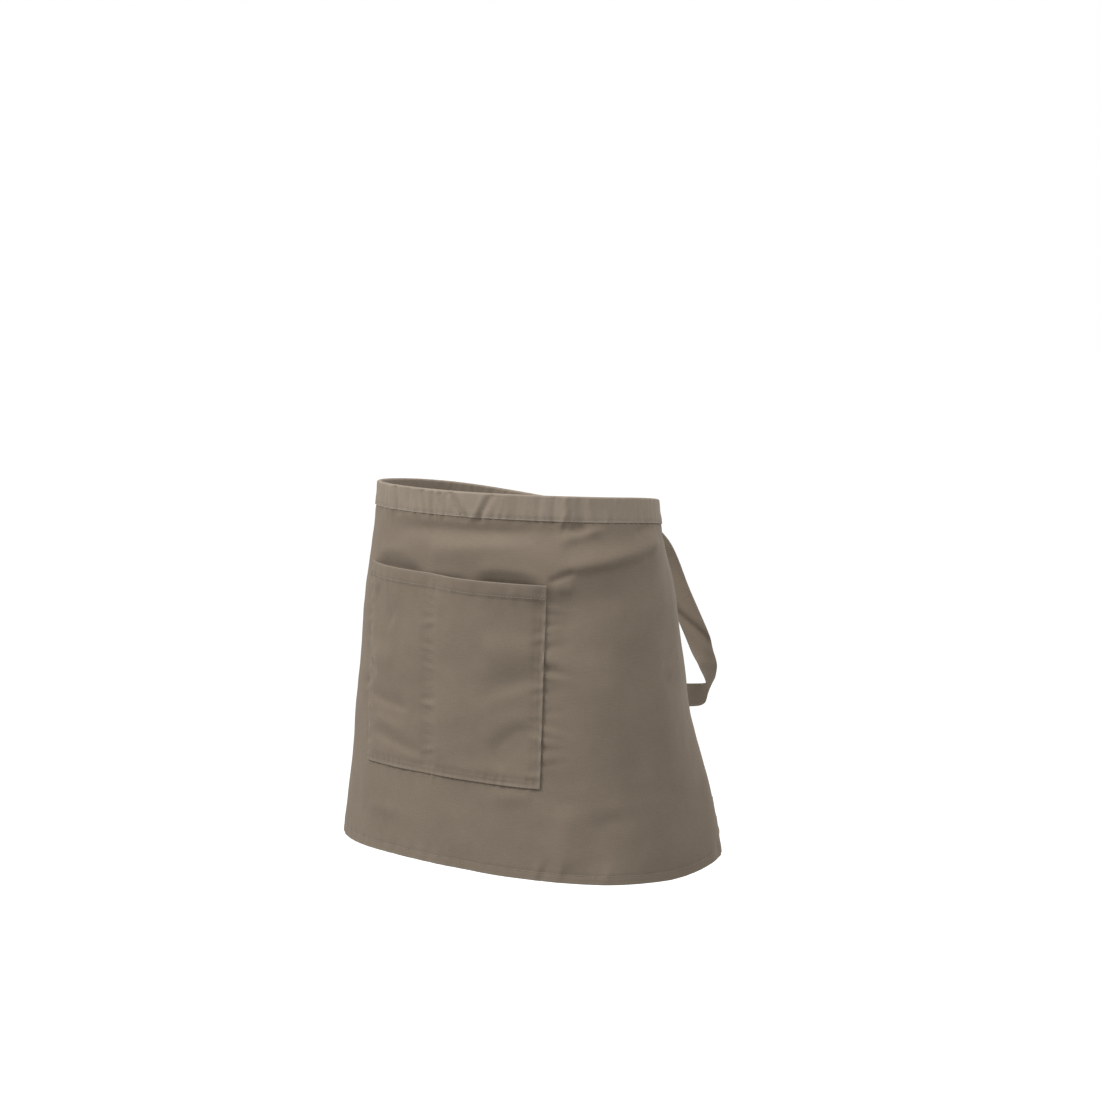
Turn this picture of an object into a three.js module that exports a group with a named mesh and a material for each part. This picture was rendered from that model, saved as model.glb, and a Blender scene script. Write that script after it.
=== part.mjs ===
// A short waist apron in the form that it takes when it is worn and tied in a bow at the back.
// Lengths are in millimetres. +X is the wearer's left, +Y the wearer's back and +Z up.
// The origin is the middle of the waist opening, at the mean height of the waistband's top edge.
// A place on the cloth is given by its run along the waist from the centre front, towards the wearer's left,
// by its drop below the top edge, measured down the cloth, and by how far it stands proud of the lining face.

import * as THREE from 'three';

// The panel and its hems
const panelWidth = 750;
const apronHeight = 373;
const clothWall = 1.2;
const sideHem = 11;
const bottomHem = 10;
const hemStep = 1;
const seamGap = 0.3;

// The waistband, folded over the panel's top edge
const bandHeight = 25;
const bandWall = 1.2;
const panelTuck = 3;

// The patch pocket, sewn down the middle into two compartments
const pocketDrop = 83;
const pocketAboveHem = 89;
const mouthSlope = 0.03;
const rightCompartment = 106;
const leftCompartment = 125;
const pocketTaper = 4;
const pocketHem = 15;
const rightGape = 4;
const leftGape = 9;

// The worn form: how the waist lies and how full the folds are
const backGap = 103;
const waistDepthShare = 0.776;
const hemFlare = 60;
const hemDepthFlare = 31;
const hemSetBack = 18.5;
const frontRise = 10;
const sideRise = 5;
const leftDip = 2;
const backDip = 8;
const frontTakeUp = 7;
const edgeTakeUp = 9;
const edgeShare = 0.08;
const foldRise = 6;

// The ties and the bow
const tieWidth = 24;
const tieWall = 1.8;
const knotWidth = 30;
const knotLip = 4;
const knotDepth = 20;
const bunchedWidth = 13.6;
const loopReach = 100;
const loopBack = 50;
const loopDrop = 190;
const loopSwing = 42;
const endLength = 290;
const endSpread = 24;

// How finely the curved walls are divided
const columnStep = 12.5;
const rowStep = 17;
const loopSteps = 48;
const endSteps = 16;
const tieSteps = 6;
const ringSteps = 240;
const threadSteps = 24;

// Sections of the worn form from the waist to the hem. drop is a share of the apron's height, wide and deep are
// shares of what the hem's half width and half depth gain on the waist's, back is a share of how far the hem is
// set back, and square is the power of the superellipse, 2 for a plain ellipse.
const sections = [
  { drop: 0, wide: 0, deep: 0, back: 0, square: 2.1 },
  { drop: 0.25, wide: 0.272, deep: 0.305, back: 0.25, square: 2.12 },
  { drop: 0.5, wide: 0.49, deep: 0.523, back: 0.5, square: 2.15 },
  { drop: 0.75, wide: 0.716, deep: 0.729, back: 0.745, square: 2.18 },
  { drop: 1, wide: 1, deep: 1, back: 1, square: 2.21 },
];

// Soft ridges and hollows, each along a straight line on the flat cloth. Runs and the spread are shares of the
// panel's width, drops are shares of the apron's height, and the rise is a share of the fold rise.
const folds = [
  { name: 'hip ridge', run: 0.168, drop: 0.222, toRun: 0.315, toDrop: 0.14, spread: 0.023, rise: 0.65 },
  { name: 'roll over the pocket', run: 0.01, drop: 0.16, toRun: 0.17, toDrop: 0.165, spread: 0.017, rise: 0.45 },
  { name: 'hollow under the band', run: -0.07, drop: 0.115, toRun: 0.2, toDrop: 0.088, spread: 0.014, rise: -0.4 },
  { name: 'hollow under the hip ridge', run: 0.2, drop: 0.29, toRun: 0.36, toDrop: 0.21, spread: 0.03, rise: -0.45 },
  { name: 'right hip roll', run: -0.235, drop: 0.3, toRun: -0.24, toDrop: 0.6, spread: 0.055, rise: 0.3 },
  { name: 'left thigh ridge', run: 0.235, drop: 0.5, toRun: 0.27, toDrop: 1.05, spread: 0.05, rise: 0.6 },
  { name: 'hollow below the left hip', run: 0.38, drop: 0.44, toRun: 0.43, toDrop: 0.6, spread: 0.06, rise: -0.8 },
  { name: 'left edge roll', run: 0.455, drop: 0.8, toRun: 0.46, toDrop: 1.05, spread: 0.035, rise: 0.5 },
  { name: 'right edge roll', run: -0.43, drop: 0.35, toRun: -0.44, toDrop: 1.05, spread: 0.045, rise: 0.8 },
  { name: 'hollow before the right edge', run: -0.35, drop: 0.5, toRun: -0.35, toDrop: 1.05, spread: 0.04, rise: -0.6 },
];

// The middle line of a bow loop, from the knot's side round to its underside. out, back and down are shares of
// the loop's reach, its stand-off behind the knot and its drop. In degrees, turn leans the strap's width from
// upright towards the loop's swing, and lean turns it away from the front. full is the share of the way from the
// bunched width to the tie's own width.
const loopLine = [
  { out: 0, back: 0, down: 0, turn: 0, lean: 0, full: 0 },
  { out: 0.06, back: 0.02, down: 0.004, turn: 3, lean: 0, full: 0.15 },
  { out: 0.22, back: 0.25, down: 0.035, turn: 30, lean: 0, full: 0.6 },
  { out: 0.46, back: 0.54, down: 0.16, turn: 60, lean: 0, full: 1 },
  { out: 0.68, back: 0.62, down: 0.42, turn: 68, lean: 0, full: 1 },
  { out: 0.87, back: 0.74, down: 0.64, turn: 67, lean: 0, full: 1 },
  { out: 0.96, back: 0.8, down: 0.785, turn: 66, lean: 0, full: 1 },
  { out: 0.99, back: 0.87, down: 0.86, turn: 60, lean: 14, full: 1 },
  { out: 0.94, back: 0.98, down: 0.917, turn: 20, lean: 48, full: 1 },
  { out: 0.84, back: 1, down: 0.952, turn: -22, lean: 16, full: 1 },
  { out: 0.74, back: 0.94, down: 0.98, turn: -18, lean: 10, full: 1 },
  { out: 0.6, back: 0.8, down: 1, turn: -6, lean: 32, full: 1 },
  { out: 0.4, back: 0.6, down: 0.96, turn: 12, lean: 64, full: 1 },
  { out: 0.22, back: 0.46, down: 0.71, turn: 50, lean: 74, full: 1 },
  { out: 0.1, back: 0.36, down: 0.39, turn: 80, lean: 58, full: 0.8 },
  { out: 0.01, back: 0.14, down: 0.135, turn: 90, lean: 8, full: 0.25 },
  { out: 0, back: 0.1, down: 0, turn: 90, lean: 0, full: 0 },
];

// The middle line of a free end below the knot. out is a share of the ends' spread, back of the loop's
// stand-off and down of the end's length; turn, lean and full are as for a loop.
const endLine = [
  { out: 0, back: -0.1, down: 0, turn: 90, lean: 0, full: 0 },
  { out: 0.2, back: -0.08, down: 0.12, turn: 90, lean: 4, full: 0.7 },
  { out: 0.55, back: 0, down: 0.35, turn: 90, lean: 10, full: 1 },
  { out: 0.85, back: 0.04, down: 0.65, turn: 90, lean: -6, full: 1 },
  { out: 1, back: -0.02, down: 1, turn: 90, lean: -16, full: 1 },
];

// The knot's sections from its right side to its left. across is a share of its half width, tall of its half
// height, and deep of the half depth by which its outer side stands out.
const knotSections = [
  { across: -1, tall: 0.8, deep: 0.6 },
  { across: -0.8, tall: 1, deep: 0.85 },
  { across: -0.35, tall: 1, deep: 0.95 },
  { across: 0, tall: 1, deep: 1 },
  { across: 0.35, tall: 1, deep: 0.95 },
  { across: 0.8, tall: 1, deep: 0.85 },
  { across: 1, tall: 0.8, deep: 0.6 },
];

// One quarter of a knot section, from its side round to its top, as shares of its half depth and half height
const knotCorner = [[1, 0], [1, 0.6], [0.88, 0.88], [0.6, 1], [0, 1]];

// Sizes that follow
const girth = panelWidth + backGap;
const pocketFoot = apronHeight - pocketAboveHem;
const pocketHeight = pocketFoot - pocketDrop;
const pocketFace = clothWall + seamGap;
const knotHeight = tieWidth + 2 * knotLip;

const { lerp, degToRad, clamp } = THREE.MathUtils;

// Curve through values given at even steps, read at a place between 0 and the last step
function smoothRead(values, place) {
  const last = values.length - 1;
  const step = clamp(Math.floor(place), 0, last - 1);
  const t = place - step;
  const [before, from, to, after] = [-1, 0, 1, 2].map((shift) => values[clamp(step + shift, 0, last)]);
  const rise = to - from;
  const slopeIn = (to - before) / 2;
  const slopeOut = (after - from) / 2;
  return from + t * (slopeIn + t * (3 * rise - 2 * slopeIn - slopeOut + t * (slopeIn + slopeOut - 2 * rise)));
}

function sectionAt(drop) {
  const place = clamp(drop, 0, 1) * (sections.length - 1);
  const read = (column) => smoothRead(sections.map((row) => row[column]), place);
  return { wide: read('wide'), deep: read('deep'), back: read('back'), square: read('square') };
}

// Points of a superellipse from the centre back round the right side, the front and the left side to the centre
// back again, each with its angle from the front and its run from the centre front
function ring(halfWidth, halfDepth, back, square) {
  const points = [];
  let run = 0;
  for (let step = 0; step <= ringSteps; step += 1) {
    const angle = Math.PI * (2 * step / ringSteps - 1);
    const across = Math.abs(Math.sin(angle) / halfWidth) ** square;
    const along = Math.abs(Math.cos(angle) / halfDepth) ** square;
    const radius = (across + along) ** (-1 / square);
    const x = radius * Math.sin(angle);
    const y = back - radius * Math.cos(angle);
    if (step > 0) {
      run += Math.hypot(x - points[step - 1].x, y - points[step - 1].y);
    }
    points.push({ x, y, angle, run });
  }
  const middle = points[ringSteps / 2].run;
  points.forEach((point) => { point.run -= middle; });
  return points;
}

// The waist is as wide as its girth makes it
const plainRing = ring(1, waistDepthShare, 0, sections[0].square);
const halfWaist = girth / (2 * plainRing[ringSteps].run);
const halfWaistDepth = halfWaist * waistDepthShare;

const rings = Array.from({ length: threadSteps + 1 }, (_, step) => {
  const { wide, deep, back, square } = sectionAt(step / threadSteps);
  return ring(halfWaist + hemFlare * wide, halfWaistDepth + hemDepthFlare * deep, hemSetBack * back, square);
});

function readRing(points, run) {
  const next = clamp(points.findIndex((point) => point.run >= run), 1, ringSteps);
  const found = points[points.length - 1].run < run ? ringSteps : next;
  const from = points[found - 1];
  const to = points[found];
  const t = (run - from.run) / (to.run - from.run);
  return { x: lerp(from.x, to.x, t), y: lerp(from.y, to.y, t), angle: lerp(from.angle, to.angle, t) };
}

// One upright thread of the cloth. Each stretch between two rings keeps its length, so the hem lifts where the
// cloth leans out.
const threads = new Map();
function threadAt(run) {
  const key = run.toFixed(3);
  if (!threads.has(key)) {
    const stretch = apronHeight / threadSteps;
    const thread = rings.map((points) => readRing(points, run));
    const { angle } = thread[0];
    thread[0].z = frontRise * Math.cos(angle) + sideRise * Math.sin(angle) ** 2 - leftDip * Math.sin(angle);
    thread[0].z -= backDip * Math.max(-Math.cos(angle), 0) ** 2;
    const nearEdge = THREE.MathUtils.smoothstep(Math.abs(run) / panelWidth, 0.5 - 2 * edgeShare, 0.5);
    for (let step = 1; step <= threadSteps; step += 1) {
      const lean = Math.hypot(thread[step].x - thread[step - 1].x, thread[step].y - thread[step - 1].y);
      const fall = Math.sqrt(Math.max(stretch ** 2 - lean ** 2, 0));
      const takeUp = frontTakeUp * Math.max(Math.cos(thread[step].angle), 0) + edgeTakeUp * nearEdge;
      thread[step].z = thread[step - 1].z - fall + takeUp / threadSteps;
    }
    threads.set(key, thread);
  }
  return threads.get(key);
}

function formPoint(run, drop) {
  const thread = threadAt(run);
  const place = clamp(drop / apronHeight, 0, 1) * threadSteps;
  const step = Math.min(Math.floor(place), threadSteps - 1);
  const t = place - step;
  const mix = (column) => lerp(thread[step][column], thread[step + 1][column], t);
  return new THREE.Vector3(mix('x'), mix('y'), mix('z'));
}

function outward(run, drop) {
  const reach = 6;
  const high = clamp(drop - reach, 0, apronHeight - 2 * reach);
  const sideways = formPoint(run + reach, drop).sub(formPoint(run - reach, drop));
  const downwards = formPoint(run, high + 2 * reach).sub(formPoint(run, high));
  return downwards.cross(sideways).normalize();
}

function foldAt(run, drop) {
  const here = new THREE.Vector2(run, drop);
  return folds.reduce((sum, fold) => {
    const from = new THREE.Vector2(fold.run * panelWidth, fold.drop * apronHeight);
    const line = new THREE.Vector2(fold.toRun * panelWidth, fold.toDrop * apronHeight).sub(from);
    const share = clamp(here.clone().sub(from).dot(line) / line.lengthSq(), 0, 1);
    const away = here.distanceTo(from.addScaledVector(line, share));
    return sum + foldRise * fold.rise * Math.exp(-((away / (fold.spread * panelWidth)) ** 2));
  }, 0);
}

// The pocket's mouth slopes down a little towards the wearer's left, and the panel's rows slope with it, less and
// less towards the band and the pocket's foot
function slopeAt(run, drop) {
  const above = (drop - bandHeight) / (pocketDrop - bandHeight);
  const below = (pocketFoot - drop) / (pocketHeight - pocketHem);
  return mouthSlope * clamp(run, -rightCompartment, leftCompartment) * clamp(Math.min(above, below), 0, 1);
}

// A point of the cloth, or of a piece sewn on it
function clothPoint(run, row, proud) {
  const drop = row + slopeAt(run, row);
  return formPoint(run, drop).addScaledVector(outward(run, drop), foldAt(run, drop) + proud);
}

// A closed mesh from points and triangles, turned so that its faces look out
function closedGeometry(points, triangles) {
  const volume = triangles.reduce((sum, [a, b, c]) => {
    return sum + points[a].dot(points[b].clone().cross(points[c]));
  }, 0);
  const faces = volume > 0 ? triangles : triangles.map(([a, b, c]) => [a, c, b]);
  const geometry = new THREE.BufferGeometry();
  geometry.setAttribute('position', new THREE.Float32BufferAttribute(points.flatMap((point) => point.toArray()), 3));
  geometry.setIndex(faces.flat());
  geometry.computeVertexNormals();
  return geometry;
}

// A cloth wall between two faces over a grid of columns and rows
function wallGeometry(columns, rows, pointAt) {
  const points = [];
  const index = (face, column, row) => (face * columns.length + column) * rows.length + row;
  for (const face of [0, 1]) {
    for (const column of columns) {
      for (const row of rows) {
        points.push(pointAt(column, row, face));
      }
    }
  }
  const triangles = [];
  const quad = (a, b, c, d) => triangles.push([a, b, c], [a, c, d]);
  const right = columns.length - 1;
  const low = rows.length - 1;
  for (let column = 0; column < right; column += 1) {
    for (let row = 0; row < low; row += 1) {
      quad(index(0, column, row), index(0, column + 1, row), index(0, column + 1, row + 1), index(0, column, row + 1));
      quad(index(1, column, row), index(1, column, row + 1), index(1, column + 1, row + 1), index(1, column + 1, row));
    }
    quad(index(0, column, 0), index(1, column, 0), index(1, column + 1, 0), index(0, column + 1, 0));
    quad(index(0, column, low), index(0, column + 1, low), index(1, column + 1, low), index(1, column, low));
  }
  for (let row = 0; row < low; row += 1) {
    quad(index(0, 0, row), index(0, 0, row + 1), index(1, 0, row + 1), index(1, 0, row));
    quad(index(0, right, row), index(1, right, row), index(1, right, row + 1), index(0, right, row + 1));
  }
  return closedGeometry(points, triangles);
}

// A solid through rings of points, closed at both ends. outline is the flat shape of a ring, for its end faces.
function loftGeometry(loops, outline) {
  const sides = outline.length;
  const triangles = [];
  for (let loop = 0; loop < loops.length - 1; loop += 1) {
    for (let side = 0; side < sides; side += 1) {
      const a = loop * sides + side;
      const b = loop * sides + (side + 1) % sides;
      triangles.push([a, b, b + sides], [a, b + sides, a + sides]);
    }
  }
  const last = (loops.length - 1) * sides;
  for (const [a, b, c] of THREE.ShapeUtils.triangulateShape(outline, [])) {
    triangles.push([c, b, a], [last + a, last + b, last + c]);
  }
  return closedGeometry(loops.flat(), triangles);
}

function evenSteps(from, to, steps) {
  return Array.from({ length: steps + 1 }, (_, step) => lerp(from, to, step / steps));
}

// Grid lines through every mark, with the stretches between them divided evenly. Pieces that lie on each other
// share their marks, so that their faceted walls run alongside.
function gridLines(marks, spacing) {
  return marks.slice(1).reduce((lines, mark, index) => {
    const steps = Math.max(Math.round((mark - marks[index]) / spacing), 1);
    return lines.concat(evenSteps(marks[index], mark, steps).slice(1));
  }, [marks[0]]);
}

const hemEdge = panelWidth / 2 - sideHem;
const pocketRuns = [-rightCompartment, 0, leftCompartment];
const pocketDrops = [pocketDrop, pocketDrop + pocketHem, pocketFoot];
const panelRuns = gridLines([
  -panelWidth / 2, -hemEdge, hemStep - hemEdge, ...pocketRuns, hemEdge - hemStep, hemEdge, panelWidth / 2,
], columnStep);

// The panel: one cloth, doubled inwards at its side hems and its bottom hem
function skirtGeometry() {
  const hemTop = apronHeight - bottomHem;
  const belowBand = bandHeight + 2 * seamGap;
  const rows = gridLines([
    panelTuck, bandHeight / 2, belowBand, belowBand + hemStep, ...pocketDrops, hemTop - hemStep, hemTop, apronHeight,
  ], rowStep);
  return wallGeometry(panelRuns, rows, (run, drop, face) => {
    const hemmed = drop > belowBand && (Math.abs(run) >= hemEdge || drop >= hemTop);
    const inner = hemmed ? -clothWall : 0;
    return clothPoint(run, drop, face === 0 ? clothWall : inner);
  });
}

// The waistband: a strip folded over the panel's top edge, open below
function waistbandGeometry() {
  const outerLeaf = clothWall + seamGap;
  const outline = [
    [bandHeight, outerLeaf + bandWall],
    [bandHeight / 2, outerLeaf + bandWall],
    [bandWall, outerLeaf + bandWall],
    [0, outerLeaf],
    [0, -seamGap],
    [bandWall, -seamGap - bandWall],
    [bandHeight / 2, -seamGap - bandWall],
    [bandHeight, -seamGap - bandWall],
    [bandHeight, -seamGap],
    [bandHeight / 2, -seamGap],
    [panelTuck - seamGap, -seamGap],
    [panelTuck - seamGap, outerLeaf],
    [bandHeight / 2, outerLeaf],
    [bandHeight, outerLeaf],
  ];
  const loops = panelRuns.map((run) => outline.map(([drop, proud]) => clothPoint(run, drop, proud)));
  return loftGeometry(loops, outline.map(([drop, proud]) => new THREE.Vector2(drop, proud)));
}

// How far the pocket's mouth stands off the panel, at a run across it and a share of the way down
function gapeAt(run, down) {
  const [width, gape] = run < 0 ? [rightCompartment, rightGape] : [leftCompartment, leftGape];
  const across = Math.sin(Math.PI * clamp(Math.abs(run) / width, 0, 1)) ** 1.5;
  return gape * across * (1 - down) ** 2;
}

// The patch pocket, with its top hem turned out of sight under the edge
function pocketGeometry() {
  const [mouth, hemEnd, foot] = pocketDrops;
  const rows = [mouth, hemEnd, ...gridLines([hemEnd, foot], rowStep).map((drop, index) => drop + (index ? 0 : hemStep))];
  return wallGeometry(gridLines(pocketRuns, columnStep), rows, (run, drop, face) => {
    const down = (drop - mouth) / pocketHeight;
    const narrow = run < 0 ? 1 - pocketTaper / rightCompartment * down : 1;
    const wall = drop <= hemEnd ? 2 * clothWall : clothWall;
    const proud = pocketFace + gapeAt(run, down) + (face === 0 ? wall : 0);
    return clothPoint(run * narrow, drop, proud);
  });
}

// A flat strap along a line of middle points, each with the direction and the size of its width. It leaves its
// first point square to leaving and reaches its last one square to arriving, where these are given.
function strapGeometry(places, leaving, arriving) {
  const last = places.length - 1;
  const loops = places.map(({ middle, across, width }, step) => {
    const before = places[Math.max(step - 1, 0)].middle;
    const after = places[Math.min(step + 1, last)].middle;
    const given = (step === 0 && leaving) || (step === last && arriving);
    const along = given ? given.clone() : after.clone().sub(before).normalize();
    const face = along.clone().cross(across).normalize();
    const edge = face.clone().cross(along).normalize();
    return [[-1, -1], [1, -1], [1, 1], [-1, 1]].map(([side, layer]) => {
      return middle.clone().addScaledVector(edge, side * width / 2).addScaledVector(face, layer * tieWall / 2);
    });
  });
  const outline = [[-1, -1], [1, -1], [1, 1], [-1, 1]].map(([x, y]) => new THREE.Vector2(x, y));
  return loftGeometry(loops, outline);
}

// The middle of the knot, on the waist at the centre back
const tieRing = bandHeight / 2 / (apronHeight / threadSteps);
const backRun = lerp(rings[0][ringSteps].run, rings[1][ringSteps].run, tieRing);
const waistBack = formPoint(backRun, bandHeight / 2);
const knotMiddle = new THREE.Vector3(0, waistBack.y + (knotDepth + clothWall - tieWall) / 2, waistBack.z);

// Reads a table of a hanging strap at even steps, from a start point and with the sizes of its shares
function hangingPlaces(rows, steps, side, start, reach, swing) {
  return evenSteps(0, rows.length - 1, steps).map((place) => {
    const read = (column) => smoothRead(rows.map((row) => row[column]), place);
    const offset = new THREE.Vector3(side * read('out') * reach.out, read('back') * reach.back, -read('down') * reach.down);
    const turn = degToRad(read('turn'));
    const lean = degToRad(read('lean'));
    const sideways = new THREE.Vector3(side * Math.cos(swing), Math.sin(swing), 0);
    const away = new THREE.Vector3(-side * Math.sin(swing), Math.cos(swing), 0);
    const across = new THREE.Vector3(0, 0, Math.cos(turn)).addScaledVector(sideways, Math.sin(turn));
    across.multiplyScalar(Math.cos(lean)).addScaledVector(away, Math.sin(lean));
    const width = lerp(bunchedWidth, tieWidth, clamp(read('full'), 0, 1));
    return { middle: start.clone().add(offset), across, width };
  });
}

// A loop leaves the knot's side and comes back to its underside, so its start point moves from one to the other
function loopGeometry(side) {
  const reach = { out: loopReach, back: loopBack, down: loopDrop };
  const sideStart = new THREE.Vector3(side * (knotWidth / 2 + seamGap), 0, 0).add(knotMiddle);
  const underStart = new THREE.Vector3(side * (bunchedWidth / 2 + 1), 0, -knotHeight / 2 - seamGap).add(knotMiddle);
  const places = hangingPlaces(loopLine, loopSteps, side, new THREE.Vector3(), reach, degToRad(loopSwing));
  places.forEach((place, step) => {
    place.middle.add(sideStart.clone().lerp(underStart, THREE.MathUtils.smoothstep(step / loopSteps, 0.5, 1)));
  });
  return strapGeometry(places, new THREE.Vector3(side, 0, 0), new THREE.Vector3(0, 0, 1));
}

function endGeometry(side) {
  const reach = { out: endSpread, back: loopBack, down: endLength };
  const start = new THREE.Vector3(side * (bunchedWidth / 2 + 1), 0, -knotHeight / 2 - seamGap).add(knotMiddle);
  return strapGeometry(hangingPlaces(endLine, endSteps, side, start, reach, 0), new THREE.Vector3(0, 0, -1));
}

// A tie goes on from the waistband's end, lying as the band lies, and reaches the knot's side bunched and upright
function tieGeometry(side) {
  const from = panelWidth / 2 + seamGap;
  const to = backRun - knotWidth / 2 - seamGap;
  return wallGeometry(evenSteps(from, to, tieSteps), [-1, 0, 1], (run, row, face) => {
    const bunched = THREE.MathUtils.smoothstep(run, from, to);
    const offset = row * lerp(tieWidth, bunchedWidth, bunched) / 2;
    const proud = clothWall / 2 + (face === 0 ? 1 : -1) * tieWall / 2;
    const upright = clothPoint(side * run, bandHeight / 2, proud).sub(new THREE.Vector3(0, 0, offset));
    return clothPoint(side * run, bandHeight / 2 + offset, proud).lerp(upright, bunched);
  });
}

function knotGeometry() {
  const mirrored = (points, x, y) => points.map(([deep, tall]) => [x * deep, y * tall]);
  const backwards = [...knotCorner].reverse();
  const outline = [
    ...mirrored(knotCorner, 1, 1), ...mirrored(backwards, -1, 1).slice(1),
    ...mirrored(knotCorner, -1, -1).slice(1), ...mirrored(backwards, 1, -1).slice(1, -1),
  ].map(([deep, tall]) => new THREE.Vector2(deep, tall));
  const loops = knotSections.map(({ across, tall, deep }) => outline.map((corner) => {
    const depth = (corner.x > 0 ? deep : 1) * corner.x * knotDepth / 2;
    return new THREE.Vector3(across * knotWidth / 2, depth, corner.y * tall * knotHeight / 2).add(knotMiddle);
  }));
  return loftGeometry(loops, outline);
}

// Matt twill, a little darker where the straps lie in their own shade
const twill = { color: 0x857767, roughness: 0.92, metalness: 0 };
const strapTwill = { ...twill, color: 0x7a6c5d };

const group = new THREE.Group();
function addPiece(name, geometry, finish) {
  const mesh = new THREE.Mesh(geometry, new THREE.MeshStandardMaterial(finish));
  mesh.name = name;
  group.add(mesh);
}

addPiece('skirt', skirtGeometry(), twill);
addPiece('waistband', waistbandGeometry(), twill);
addPiece('pocket', pocketGeometry(), twill);
addPiece('bow_knot', knotGeometry(), strapTwill);
for (const [name, side] of [['left', 1], ['right', -1]]) {
  addPiece(`tie_${name}`, tieGeometry(side), strapTwill);
  addPiece(`bow_loop_${name}`, loopGeometry(side), strapTwill);
  addPiece(`tie_end_${name}`, endGeometry(side), strapTwill);
}

export default group;
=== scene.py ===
"""A short waist apron of matt twill in its worn form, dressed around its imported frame.

Sizes are in millimetres until add_mesh turns them to metres. A place on the cloth has a run along the waist
from the centre front, and a drop below the waistband's top edge, measured down the cloth. Left and right are
as the apron is worn: +X and the runs above zero are its left, +Y is its back and +Z is up.
"""

import logging
import math
from dataclasses import astuple, dataclass
from enum import Enum
from functools import cached_property
from typing import Callable

import bpy
import numpy as np
from mathutils import Matrix, Vector


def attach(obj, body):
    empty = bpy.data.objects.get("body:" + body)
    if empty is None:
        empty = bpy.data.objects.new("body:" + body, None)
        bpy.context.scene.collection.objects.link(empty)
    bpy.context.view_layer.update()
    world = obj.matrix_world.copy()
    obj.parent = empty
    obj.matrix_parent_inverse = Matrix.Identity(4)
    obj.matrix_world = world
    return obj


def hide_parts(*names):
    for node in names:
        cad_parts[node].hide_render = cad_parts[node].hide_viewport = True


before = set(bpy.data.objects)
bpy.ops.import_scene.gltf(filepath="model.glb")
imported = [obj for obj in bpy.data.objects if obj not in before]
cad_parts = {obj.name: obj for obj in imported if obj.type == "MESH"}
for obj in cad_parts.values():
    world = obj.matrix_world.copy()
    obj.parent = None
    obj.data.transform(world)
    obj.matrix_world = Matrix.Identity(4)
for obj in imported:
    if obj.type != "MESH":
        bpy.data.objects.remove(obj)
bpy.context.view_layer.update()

MM = 0.001
TURN = 2 * math.pi
# Blender's wave texture turns by 20 radians in each metre, so this over a pitch is its scale
WAVE_SCALE = TURN / 20
TO_THE_LEFT = np.array([1.0, 0.0, 0.0])
UPRIGHT = np.array([0.0, 0.0, 1.0])
CLOTH_MAP = "cloth"
WEAR = "wear"
BODY = "root"

log = logging.getLogger("waist_apron")
Place = np.ndarray
Surface = Callable[[Place, Place], tuple[Place, Place]]
Line = tuple[tuple[float, float], tuple[float, float]]
Faces = list[list[int]]


class Hold(Enum):
    """How a sheet of cloth is held."""

    HUNG = "hung"
    GATHERED = "gathered"
    FOLDED = "folded"


class Side(Enum):
    """A side of the apron as worn, with the sign of its runs and of its X."""

    LEFT = 1
    RIGHT = -1

    @property
    def word(self) -> str:
        """The side's name as it stands in the names of pieces."""
        return self.name.lower()


class Way(Enum):
    """The way that a seam goes on the flat cloth."""

    ALONG_THE_WAIST = "along"
    DOWN_THE_CLOTH = "down"


class Roll(Enum):
    """Where on the roll of cloth each kind of piece is cut, so that no two show the same clouds of dye."""

    PANEL = 0.0
    BAND = 400.0
    POCKET = 900.0
    LOOP = 1300.0
    END = 1500.0
    TIE = 1700.0
    KNOT = 1900.0


def smooth_step(place: Place, low: float, high: float) -> Place:
    """Goes smoothly from 0 at low to 1 at high.

    Args:
        place: Where it is read.
        low: The place up to which it is 0.
        high: The place from which it is 1.

    Returns:
        The share, from 0 to 1.
    """
    share = np.clip((place - low) / (high - low), 0, 1)
    return share * share * (3 - 2 * share)


def smooth_read(values: Place, places: Place) -> Place:
    """Reads a curve that passes through values at even steps.

    Args:
        values: The values, one row for each step.
        places: Where to read, from 0 to the last step.

    Returns:
        The curve's values at the places.
    """
    last = len(values) - 1
    step = np.clip(np.floor(places).astype(int), 0, last - 1)
    share = places - step
    if values.ndim > 1:
        share = share[..., None]
    before, start, end, after = (values[np.clip(step + shift, 0, last)] for shift in (-1, 0, 1, 2))
    rise = end - start
    slope_in, slope_out = (end - before) / 2, (after - start) / 2
    bend = 3 * rise - 2 * slope_in - slope_out + share * (slope_in + slope_out - 2 * rise)
    return start + share * (slope_in + share * bend)


def unit(vectors: Place) -> Place:
    """Vectors of the same directions and of length one."""
    return vectors / np.linalg.norm(vectors, axis=-1, keepdims=True)


def irregular_wave(place: Place, pitch: float, seed: int) -> Place:
    """A wave without a strict rhythm, as the puckers along a seam have.

    Args:
        place: Where it is read, in millimetres.
        pitch: The middle one of its wavelengths.
        seed: Picks the phases.

    Returns:
        The wave, mostly between -1 and 1.
    """
    usual_peak = 2.5
    draws = np.random.default_rng(seed)
    total = np.zeros_like(place)
    for stretch in np.linspace(0.65, 1.5, 6):
        total += np.sin(TURN * place / (pitch * stretch) + draws.uniform(0, TURN))
    return total / usual_peak


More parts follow.
